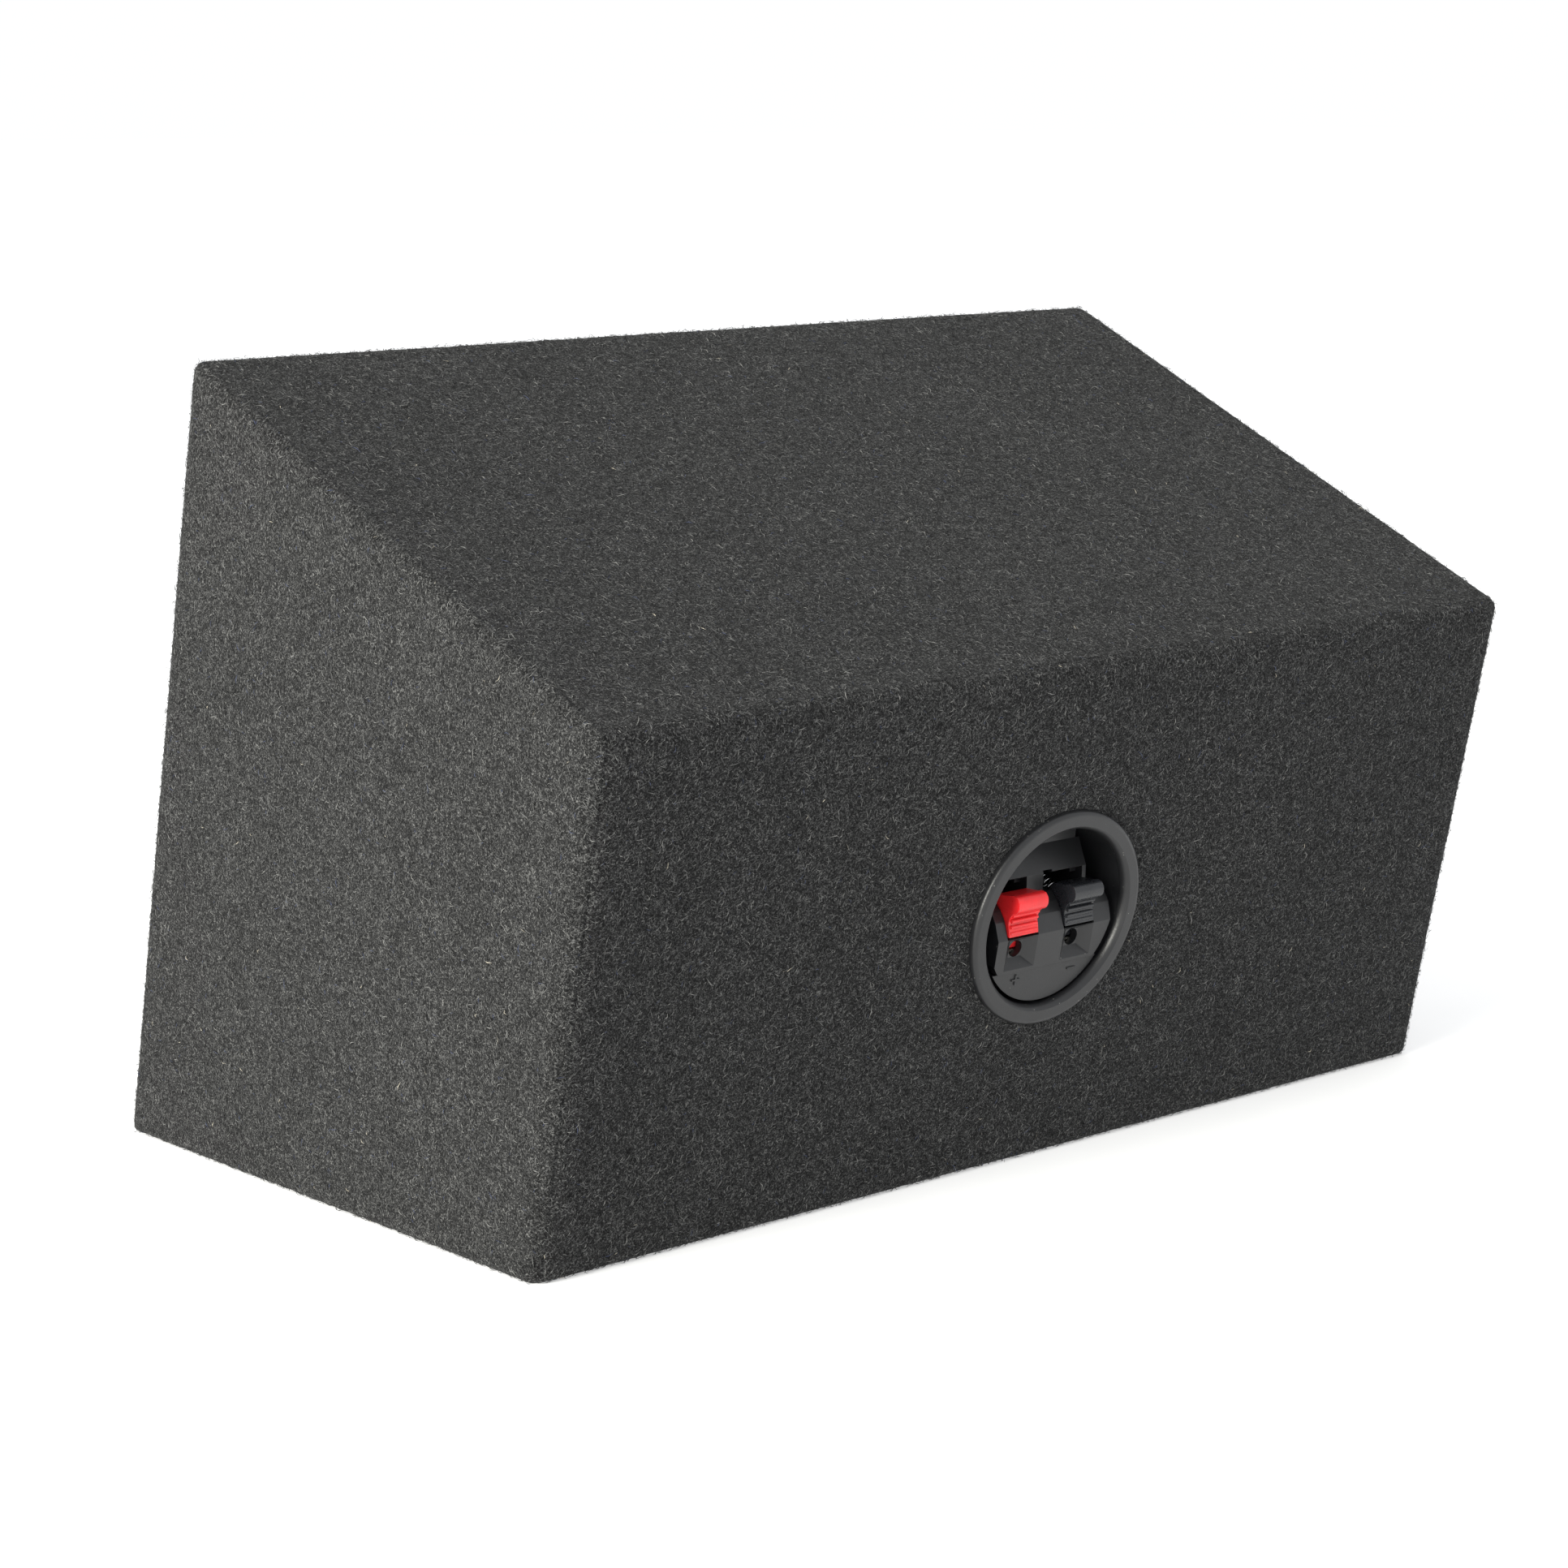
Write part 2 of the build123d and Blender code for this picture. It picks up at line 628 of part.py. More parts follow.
def leads():
    """Each polarity runs cup to board, board to woofer and board to tweeter."""
    face = INNER_REAR - XOVER_GAP - XOVER_SIZE[1]
    tab_y = REAR + CUP_PROUD - CONTACT_TAIL
    tab_z = CUP_Z + CONTACT_TAIL_Z
    half_pitch = LEVER_PITCH / 2
    red_tab = CUP_X + half_pitch
    black_tab = CUP_X - half_pitch
    red_cone = WOOFER_X + WOOFER_TAB_X
    black_cone = WOOFER_X - WOOFER_TAB_X
    routes = {
        "leads_positive": [
            [
                (red_tab, tab_y, tab_z),
                (red_tab, 46.0, tab_z),
                (26.0, 38.0, -6.0),
                (50.0, 38.0, 16.0),
                (64.0, 46.0, 21.0),
                (64.0, face, 21.0),
            ],
            [
                (72.0, face, 21.0),
                (72.0, 44.0, 21.0),
                (56.0, 26.0, 12.0),
                (30.0, 12.0, -14.0),
                (4.0, 4.0, -42.0),
                (-24.0, -2.0, -53.0),
                (red_cone, -8.0, WOOFER_TAB_Z),
                (red_cone, WOOFER_TAB_END, WOOFER_TAB_Z),
            ],
            [
                (80.0, face, 21.0),
                (80.0, 44.0, 21.0),
                (84.0, 24.0, 17.0),
                (76.0, 2.0, 9.0),
                (76.0, -16.0, 9.0),
            ],
        ],
        "leads_negative": [
            [
                (black_tab, tab_y, tab_z),
                (black_tab, 44.0, tab_z),
                (14.0, 34.0, -22.0),
                (46.0, 36.0, -25.0),
                (64.0, 46.0, -21.0),
                (64.0, face, -21.0),
            ],
            [
                (72.0, face, -21.0),
                (72.0, 44.0, -21.0),
                (54.0, 24.0, -28.0),
                (24.0, 11.0, -39.0),
                (-8.0, 5.0, -49.0),
                (-36.0, 1.0, -53.0),
                (black_cone, -7.0, WOOFER_TAB_Z),
                (black_cone, WOOFER_TAB_END, WOOFER_TAB_Z),
            ],
            [
                (80.0, face, -21.0),
                (80.0, 44.0, -21.0),
                (84.0, 24.0, -17.0),
                (64.0, 2.0, -9.0),
                (64.0, -16.0, -9.0),
            ],
        ],
    }
    return {
        name: group(wire(route, LEAD_R) for route in runs) for name, runs in routes.items()
    }


# ------------------------------------------------------------------ terminal cup

CONTACT_TAIL = 33.0
CONTACT_TAIL_Z = -14.5
STRIP = 0.6
STRIP_TOP = -9.0
PIN_LENGTH = 33.6
PIN_BORE_LENGTH = 34.4

# Lever: ribs up its hollow face, a round nose above them and two arms down to the pin
HEAD_ARM_GAP = 3.2
LEG_FACE = 6.3
LEG_LOW = 8.6
BOSS_R = 2.2
RIBS = 5
RIB_R = 0.42
RIB_PITCH = 1.55
RIB_LOWEST = -2.4
RIB_DEPTH = 2.05
RIB_HOLLOW = 0.45
RIB_RISE = 0.25
NOSE_R = 2.3
NOSE_DEPTH = 2.4
NOSE_Z = 5.3
SPRING_SEAT_R = 2.35
SPRING_SEAT_DEPTH = 1.2


def cup_place():
    """From the cup's frame, whose origin is the middle of the flange's face, to the cabinet's."""
    return Pos(CUP_X, REAR + CUP_PROUD, CUP_Z)


def side_profile(points, x0, x1):
    """An outline of (depth behind the flange face, height) points, run across from x0 to x1."""
    return prism([(-d, z) for d, z in points], x0, x1)


def deep(d0, d1, radius, x=0.0, z=0.0):
    """A cylinder in the cup's frame between two depths."""
    return rod(radius, -d1, -d0, x, z)


def slab(x0, x1, d0, d1, z0, z1):
    """A box in the cup's frame, between two depths."""
    return block(x0, x1, -d1, -d0, z0, z1)


def cup_shell():
    """Ring flange, tapering barrel, floor and the barbs that grip behind the panel."""
    proud = CUP_PROUD
    shell = spun(
        [
            Line((CUP_RING_INNER_R - 0.9, -CUP_DEPTH), (CUP_RING_INNER_R - 0.3, -3.0)),
            ThreePointArc(
                (CUP_RING_INNER_R - 0.3, -3.0),
                (CUP_RING_INNER_R - 0.05, -0.9),
                (CUP_RING_INNER_R + 0.8, 0),
            ),
            Line((CUP_RING_INNER_R + 0.8, 0), (CUP_FLANGE_R - 1.3, 0)),
            ThreePointArc(
                (CUP_FLANGE_R - 1.3, 0),
                (CUP_FLANGE_R - 0.38, -0.38),
                (CUP_FLANGE_R, -1.3),
            ),
            Line((CUP_FLANGE_R, -1.3), (CUP_FLANGE_R, -proud)),
            Line((CUP_FLANGE_R, -proud), (CUP_BARREL_R, -proud)),
            Line((CUP_BARREL_R, -proud), (CUP_BARREL_R, -CUP_DEPTH)),
            Line((CUP_BARREL_R, -CUP_DEPTH), (CUP_RING_INNER_R - 0.9, -CUP_DEPTH)),
        ]
    )
    floor = deep(CUP_FLOOR, CUP_DEPTH, CUP_BARREL_R - 0.5)
    barb_start = proud + SKIN + 0.3
    barb = side_profile(
        [(barb_start, 0), (CUP_DEPTH, 0), (CUP_DEPTH, 0.2), (barb_start, 1.5)], -4.0, 4.0
    )
    barb = Pos(0, 0, CUP_BARREL_R - 0.4) * barb
    for k in range(4):
        shell = shell + Rot(0, 45 + 90 * k, 0) * barb
    return shell + floor


def cheek_outline():
    """Side view of the housing walls beside each lever, which carry the spring and the ramp."""
    return [
        (1.8, -4.0),
        (2.6, -2.4),
        (3.9, 0.2),
        (5.8, 2.4),
        (8.2, 4.0),
        (9.0, 8.8),
        (13.0, 15.0),
        (CUP_FLOOR, 15.0),
        (CUP_FLOOR, -4.0),
    ]


APRON_R = 22.0
APRON_Z = -0.7
SPRING_WINDOW = 3.0
LINTEL_GAP = 6.3
LINTEL_Z = 6.6


def cup_housing():
    """The moulded block that holds the wire funnels, the lever bays and the ramp above them."""
    lower_r = 21.3
    flat_side = 18.3
    half_pitch = LEVER_PITCH / 2
    half_bay = BAY_WIDTH / 2
    outer_bay = half_pitch + half_bay
    upper = deep(1.8, CUP_FLOOR, lower_r) & slab(-lower_r, flat_side, 1, 22, -13.3, -4.0)
    apron = deep(2.3, CUP_FLOOR, APRON_R, 0, APRON_Z)
    lower = apron & slab(-lower_r, flat_side, 1, 22, -CUP_BARREL_R, -13.3)
    web = side_profile(cheek_outline(), -(half_pitch - half_bay), half_pitch - half_bay)
    body = upper + lower + web
    for sign in (-1, 1):
        near, far = sorted((sign * outer_bay, sign * (outer_bay + 1.3)))
        body = body + side_profile(cheek_outline(), near, far)
    low_cheek = [(d, min(z, 4.0)) for d, z in cheek_outline()[:5]]
    low_cheek += [(CUP_FLOOR, 4.0), (CUP_FLOOR, -4.0)]
    disc = deep(0, CUP_FLOOR, lower_r)
    for x0, x1 in ((-lower_r, -outer_bay), (outer_bay, flat_side)):
        body = body + (side_profile(low_cheek, x0, x1) & disc)
    ramp = side_profile(
        [(9.0, 8.8), (13.0, 15.0), (13.4, 20.0), (14.8, 20.0), (14.4, 14.6), (10.2, 8.0)],
        -outer_bay,
        outer_bay,
    )
    body = body + ramp
    window = half_pitch - half_bay
    body = body - slab(-window - 0.1, -window + SPRING_WINDOW, 8.0, 14.0, 4.0, 9.3)
    for sign in (-1, 1):
        x = sign * half_pitch
        lintel = slab(x - half_bay - 0.2, x - LINTEL_GAP / 2, 11.0, 12.4, LINTEL_Z, 9.8)
        body = body + lintel
        bay = slab(x - half_bay, x + half_bay, THROAT_END, CUP_FLOOR, -13.6, -3.9)
        body = body - bay
        mouth_z = -8.25
        wide = Plane.XZ.offset(1.7) * Pos(x, mouth_z) * Rectangle(BAY_WIDTH, 8.5)
        tight = Plane.XZ.offset(THROAT_START) * Pos(x, WIRE_HOLE_Z) * Rectangle(4.4, 4.4)
        body = body - loft([wide, tight], ruled=True)
        body = body - deep(THROAT_START - 0.5, THROAT_END + 0.5, WIRE_HOLE_R, x, WIRE_HOLE_Z)
        slot = slab(x - 2.2, x + 2.2, 11.9, CUP_DEPTH + 1, CONTACT_TAIL_Z - STRIP, -13.4)
        body = body - slot
    body = body - crosswise(PIN_R, PIN_BORE_LENGTH, PIVOT_DEPTH, PIVOT_Z)
    for sign in (-1, 1):
        body = body + polarity_mark(sign)
    return body


def polarity_mark(sign):
    """A raised plus at the positive side, a raised minus at the negative side."""
    x = sign * LEVER_PITCH / 2
    z = -15.6
    mark = slab(x - 1.4, x + 1.4, 2.0, 2.5, z - 0.25, z + 0.25)
    if sign > 0:
        mark = mark + slab(x - 0.25, x + 0.25, 2.0, 2.5, z - 1.4, z + 1.4)
    return mark


def crosswise(radius, length, depth, z, x=0.0):
    """A cylinder along X in the cup's frame."""
    return Pos(x, -depth, z) * (Rot(0, 90, 0) * Cylinder(radius, length))


def terminal_cup():
    half_pitch = LEVER_PITCH / 2
    housing = cup_housing() & deep(0, CUP_DEPTH, CUP_BARREL_R - 0.3)
    cup = cup_shell() + housing
    for sign in (-1, 1):
        x = sign * half_pitch
        tail = slab(x - 2.2, x + 2.2, 11.9, CUP_DEPTH + 1, CONTACT_TAIL_Z - STRIP, CONTACT_TAIL_Z)
        cup = cup - tail
    return cup


def lever():
    """Ribbed push lever about its own middle: head, leg behind the wire hole, two pivot arms."""
    head = [
        Line((-1.8, -3.3), (-2.35, -1.4)),
        ThreePointArc((-2.35, -1.4), (-2.9, 0.6), (-1.3, 3.4)),
        ThreePointArc((-1.3, 3.4), (-0.12, 5.4), (-1.6, 7.6)),
        Line((-1.6, 7.6), (-8.3, 6.0)),
        Line((-8.3, 6.0), (-10.0, 2.6)),
        Line((-10.0, 2.6), (-11.3, -0.9)),
        Line((-11.3, -0.9), (-10.4, -3.6)),
        Line((-10.4, -3.6), (-8.2, -LEG_LOW)),
        Line((-8.2, -LEG_LOW), (-LEG_FACE, -LEG_LOW)),
        Line((-LEG_FACE, -LEG_LOW), (-LEG_FACE, -3.3)),
        Line((-LEG_FACE, -3.3), (-1.8, -3.3)),
    ]
    half = LEVER_WIDTH / 2
    body = Pos(-half, 0, 0) * extrude(Plane.YZ * make_face(head), LEVER_WIDTH)
    arm_points = [(8.6, -3.4), (11.3, -0.9), (16.6, -8.4), (13.5, -11.0)]
    for sign in (-1, 1):
        x0, x1 = sorted((sign * HEAD_ARM_GAP, sign * (half - 0.1)))
        body = body + side_profile(arm_points, x0, x1)
        body = body + crosswise(BOSS_R, x1 - x0, PIVOT_DEPTH, PIVOT_Z, (x0 + x1) / 2)
    for k in range(RIBS):
        hollow = RIB_HOLLOW * sin(pi * (k + 0.6) / RIBS) - RIB_RISE * max(0, k - 3)
        depth = RIB_DEPTH + hollow
        body = body + crosswise(RIB_R, LEVER_WIDTH - 1.0, depth, RIB_LOWEST + RIB_PITCH * k)
    body = body + crosswise(NOSE_R, LEVER_WIDTH, NOSE_DEPTH, NOSE_Z)
    body = body - crosswise(PIN_R + PIN_CLEARANCE, PIN_BORE_LENGTH, PIVOT_DEPTH, PIVOT_Z)
    seat = Plane(origin=SPRING_START, z_dir=SPRING_AXIS)
    return body - extrude(seat * Circle(SPRING_SEAT_R), SPRING_SEAT_DEPTH, both=True)


SPRING_START = (0, -10.9, 0.75)
SPRING_END = (0, -CUP_FLOOR, 4.45)
SPRING_AXIS = (Vector(*SPRING_END) - Vector(*SPRING_START)).normalized()
SPRING_R = 1.75
SPRING_WIRE_R = 0.26
SPRING_TURNS = 6.0


def spring():
    """Compression spring between the lever's back and the cup's floor."""
    start = Vector(*SPRING_START) - SPRING_AXIS * 0.8
    length = (Vector(*SPRING_END) - start).length - 1.0
    pitch = length / SPRING_TURNS
    path = Helix(pitch, length, SPRING_R)
    section = Plane(origin=path @ 0, z_dir=path % 0) * Circle(SPRING_WIRE_R)
    coil = sweep(section, path=path, is_frenet=True)
    return Plane(origin=start, z_dir=SPRING_AXIS).location * coil


def contact():
    """Plated strip: blade under the wire hole, drop, tail through the floor to a push-on tab."""
    top = STRIP_TOP
    face = THROAT_END + 0.1
    outline = [
        (face, top),
        (12.6, top),
        (12.6, CONTACT_TAIL_Z),
        (CONTACT_TAIL, CONTACT_TAIL_Z),
        (CONTACT_TAIL, CONTACT_TAIL_Z - STRIP),
        (12.0, CONTACT_TAIL_Z - STRIP),
        (12.0, top - STRIP),
        (face, top - STRIP),
    ]
    return side_profile(outline, -2.2, 2.2)


def terminals():
    place = cup_place()
    made = {"terminal_cup": place * terminal_cup()}
    for sign, name in ((1, "red"), (-1, "black")):
        shift = Pos(sign * LEVER_PITCH / 2, 0, 0)
        made["lever_" + name] = place * shift * lever()
        made["lever_spring_" + name] = place * shift * spring()
        made["contact_" + name] = place * shift * contact()
    made["lever_pin"] = place * crosswise(PIN_R, PIN_LENGTH, PIVOT_DEPTH, PIVOT_Z)
    return made


# ------------------------------------------------------------------ grille


def grille_corners():
    return [(a * SPACER_X, b * SPACER_Z) for a in (-1, 1) for b in (-1, 1)]


def grille():
    """Perforated steel tray: punched face with a short rim folded back."""
    half_x = INNER_SIDE - CARPET - GRILLE_GAP
    half_z = half_height(GRILLE_FACE + GRILLE_RIM, MOUTH_INSET) - GRILLE_GAP
    outer = RectangleRounded(2 * half_x, 2 * half_z, 4.0)
    row = HOLE_PITCH * sin(pi / 3)
    holes = []
    rows = int((half_z - 8.0) / row)
    for j in range(-rows, rows + 1):
        shift = HOLE_PITCH / 2 if j % 2 else 0.0
        count = int((half_x - 8.0 - shift) / HOLE_PITCH)
        for i in range(-count - (1 if shift else 0), count + 1):
            x = i * HOLE_PITCH + shift
            z = j * row
            if abs(abs(x) - SPACER_X) + abs(abs(z) - SPACER_Z) > HOLE_PITCH:
                holes.append(Wire([Edge.make_circle(HOLE_D / 2, Plane((x, z, 0)))]))
    face = Face(outer.face().outer_wire(), holes)
    lay = Plane(origin=(0, GRILLE_FACE, 0), x_dir=(1, 0, 0), z_dir=(0, 1, 0))
    sheet = extrude(lay * face, SHEET_METAL)
    inner = RectangleRounded(
        2 * (half_x - SHEET_METAL), 2 * (half_z - SHEET_METAL), 4.0 - SHEET_METAL
    )
    rim = extrude(lay * (outer - inner), GRILLE_RIM)
    tray = sheet + rim
    for x, z in grille_corners():
        tray = tray - rod(1.8, GRILLE_FACE - 1, GRILLE_FACE + 2, x, z)
    return tray


def grille_parts():
    made = {"grille": grille()}
    back = GRILLE_FACE + SHEET_METAL
    spacers = []
    screws = []
    for x, z in grille_corners():
        spacers.append(rod(SPACER_R, back, BAFFLE_FRONT, x, z) - rod(1.6, back - 1, 0, x, z))
        screws.append(screw(x, z, GRILLE_FACE, 4.0, 2.2, 1.6, 30.0))
    made["grille_spacers"] = group(spacers)
    made["grille_screws"] = group(screws)
    return made


# ------------------------------------------------------------------ assembly


def all_pieces():
    pieces = {}
    for make in (
        panels,
        carpets,
        baffle_and_cleats,
        felts,
        woofer,
        tweeter,
        crossover,
        leads,
        terminals,
        grille_parts,
    ):
        pieces.update(make())
    return pieces


def placement():
    """Tips the cabinet onto its bottom and centres it over the origin."""
    tip = Rot(-degrees(TAPER), 0, 0)
    box = (tip * envelope()).bounding_box()
    return Pos(-box.center().X, -box.center().Y, -box.min.Z) * tip


os.makedirs("parts", exist_ok=True)
level = placement()
for node, shape in all_pieces().items():
    export_step(level * shape, f"parts/{node}.step")
print("moved by", level.position, "and tipped by", level.orientation)
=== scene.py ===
"""Looks of a carpeted wedge loudspeaker cabinet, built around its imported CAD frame.

Every place is in metres. The cabinet's own frame has X across the width, Y from the grille to
the terminals and Z along the parallel front and rear; the cabinet stands tipped by its taper
angle, so in_row() turns points of its own frame into the row frame.
"""

from math import atan, cos, pi, radians, sin, tan

import bmesh
import bpy
import numpy as np
from mathutils import Matrix, Vector, noise


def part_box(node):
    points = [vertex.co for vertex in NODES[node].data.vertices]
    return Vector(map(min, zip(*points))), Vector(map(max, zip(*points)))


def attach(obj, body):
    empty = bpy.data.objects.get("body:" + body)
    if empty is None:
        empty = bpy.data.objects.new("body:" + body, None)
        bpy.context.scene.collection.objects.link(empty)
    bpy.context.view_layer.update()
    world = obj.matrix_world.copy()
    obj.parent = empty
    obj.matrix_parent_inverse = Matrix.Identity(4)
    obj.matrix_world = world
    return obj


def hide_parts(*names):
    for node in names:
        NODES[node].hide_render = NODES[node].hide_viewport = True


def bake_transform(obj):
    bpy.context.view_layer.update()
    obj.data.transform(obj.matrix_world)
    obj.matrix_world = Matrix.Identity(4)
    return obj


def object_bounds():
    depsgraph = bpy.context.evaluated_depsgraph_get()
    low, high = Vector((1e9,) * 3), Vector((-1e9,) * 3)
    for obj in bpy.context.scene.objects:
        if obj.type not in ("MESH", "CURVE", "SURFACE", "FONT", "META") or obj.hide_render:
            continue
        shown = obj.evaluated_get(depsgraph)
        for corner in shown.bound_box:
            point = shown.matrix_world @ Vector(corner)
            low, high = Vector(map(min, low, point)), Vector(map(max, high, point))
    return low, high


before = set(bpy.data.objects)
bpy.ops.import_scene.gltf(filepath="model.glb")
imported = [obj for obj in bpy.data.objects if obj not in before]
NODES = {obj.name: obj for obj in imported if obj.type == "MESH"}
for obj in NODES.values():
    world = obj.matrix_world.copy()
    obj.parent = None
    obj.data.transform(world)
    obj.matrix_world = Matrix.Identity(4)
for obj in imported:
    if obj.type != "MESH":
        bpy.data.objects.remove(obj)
cad_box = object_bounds()

# The cabinet's driving dimensions, over the carpet
WIDTH = 0.310
FRONT_HEIGHT = 0.211
REAR_HEIGHT = 0.134
DEPTH = 0.174
CARPET = 0.003
BOARD = 0.015
RECESS = 0.020
SIDE = WIDTH / 2
FRONT = -DEPTH / 2
REAR = DEPTH / 2
SKIN = CARPET + BOARD
BAFFLE_FRONT = FRONT + RECESS
WOOD_SIDE = SIDE - CARPET
WOOD_REAR = REAR - CARPET
MOUTH_SIDE = SIDE - SKIN - CARPET
TAPER = atan((FRONT_HEIGHT - REAR_HEIGHT) / 2 / DEPTH)

# Edge radii of the carpeted outside
REAR_END_RADIUS = 0.006
FRONT_END_RADIUS = 0.004
TOP_RADIUS = 0.003
BOTTOM_RADIUS = 0.0023
MOUTH_RADIUS = 0.0025

# Terminal cup, whose own frame starts at the middle of its flange's face
CUP = Vector((0.0026, REAR + 0.002, 0.0007))
CUP_HOLE_R = 0.0262
LEVER_PITCH = 0.0195
PIVOT = Vector((0, -0.015, -0.0096))
SPRING_START = Vector((0, -0.0109, 0.00075))
SPRING_END = Vector((0, -0.021, 0.00445))
SPRING_R = 0.00175
SPRING_WIRE_R = 0.00026
SPRING_TURNS = 7
SPRING_SEATED = 0.0007
SPRING_SHORT = 0.0003
STEPS_PER_TURN = 28

# Woofer, whose radii are about its own axis
WOOFER_X = -0.052
CONE_R = 0.053
CONE_FRONT = BAFFLE_FRONT - 0.003
SURROUND_OUTER = 0.0614
SURROUND_T = 0.0007
ROLL_STEPS = 18
LAND_FOLD = 0.0635
SURROUND_LAND = 0.066
SPIDER_Y = -0.0335
SPIDER_INNER = 0.0131
SPIDER_OUTER = 0.0436
SPIDER_T = 0.0005
RIPPLES = 6.0
RIPPLE_DEPTH = 0.0015
RIPPLES_FROM = 0.0165
RIPPLES_TO = 0.0405
TAB_X = 0.006
TAB_Z = -0.0495
STRIP_FACE = -0.0315
LEAD_ON_CONE = -0.0498
LEAD_ON_CONE_Z = -0.030
LEAD_R = 0.0005

# Battens and damping felt
CLEAT = 0.012
FELT = 0.008
FELT_GAP = 0.003
FELT_EDGE = 0.002
FELT_VOXEL = 0.0026
FELT_LUMPS = 0.0007

TIP = Matrix.Rotation(-TAPER, 3, "X")
pin_low, pin_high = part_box("lever_pin")
SHIFT = (pin_low + pin_high) / 2 - TIP @ (CUP + PIVOT)


def in_row(points):
    """Points of the cabinet's own frame, in the row frame."""
    return np.asarray(points, float) @ np.array(TIP).T + np.array(SHIFT)


def half_height(y, inset=0.0):
    """Half the height of the section at depth y, brought in by inset from the sloping faces."""
    return FRONT_HEIGHT / 2 - (y - FRONT) * tan(TAPER) - inset / cos(TAPER)


# ------------------------------------------------------------------ meshes


def new_piece(name, points, faces, smooth=True):
    """A mesh object from points of the row frame."""
    mesh = bpy.data.meshes.new(name)
    mesh.from_pydata([tuple(p) for p in points], [], [tuple(f) for f in faces])
    mesh.validate()
    if smooth:
        mesh.shade_smooth()
    piece = bpy.data.objects.new(name, mesh)
    bpy.context.scene.collection.objects.link(piece)
    return piece


def baked_mesh(piece):
    """The piece's mesh with its modifiers, as plain data. The piece is removed."""
    graph = bpy.context.evaluated_depsgraph_get()
    mesh = bpy.data.meshes.new_from_object(piece.evaluated_get(graph))
    bpy.data.objects.remove(piece)
    return mesh


def tube(path, radius, sides=10):
    """Points and faces of a round tube along a close row of points, closed at both ends."""
    path = np.asarray(path, float)
    along = np.gradient(path, axis=0)
    along /= np.linalg.norm(along, axis=1)[:, None]
    across = np.cross(along[0], (0.3, 0.2, 0.9))
    rings = []
    for here, way in zip(path, along):
        across = across - way * (across @ way)
        across /= np.linalg.norm(across)
        other = np.cross(way, across)
        turn = np.linspace(0, 2 * pi, sides, endpoint=False)[:, None]
        rings.append(here + radius * (np.cos(turn) * across + np.sin(turn) * other))
    points = np.concatenate(rings)
    faces = []
    for k in range(len(path) - 1):
        for j in range(sides):
            a = k * sides + j
            b = k * sides + (j + 1) % sides
            faces.append((a, b, b + sides, a + sides))
    faces.append(tuple(reversed(range(sides))))
    faces.append(tuple(range(len(points) - sides, len(points))))
    return points, faces


def lathe(profile, x, steps=144):
    """A closed outline of (radius, depth) points turned about an axis along Y of the cabinet."""
    profile = np.asarray(profile, float)
    turns = np.linspace(0, 2 * pi, steps, endpoint=False)
    points = []
    for t in turns:
        ring = np.stack(
            [x + profile[:, 0] * cos(t), profile[:, 1], profile[:, 0] * sin(t)], axis=1
        )
        points.append(ring)
    count = len(profile)
    faces = []
    for k in range(steps):
        for j in range(count):
            a = k * count + j
            b = k * count + (j + 1) % count
            c = (k + 1) % steps * count
            faces.append((a, b, c + (j + 1) % count, c + j))
    return in_row(np.concatenate(points)), faces


# ------------------------------------------------------------------ materials


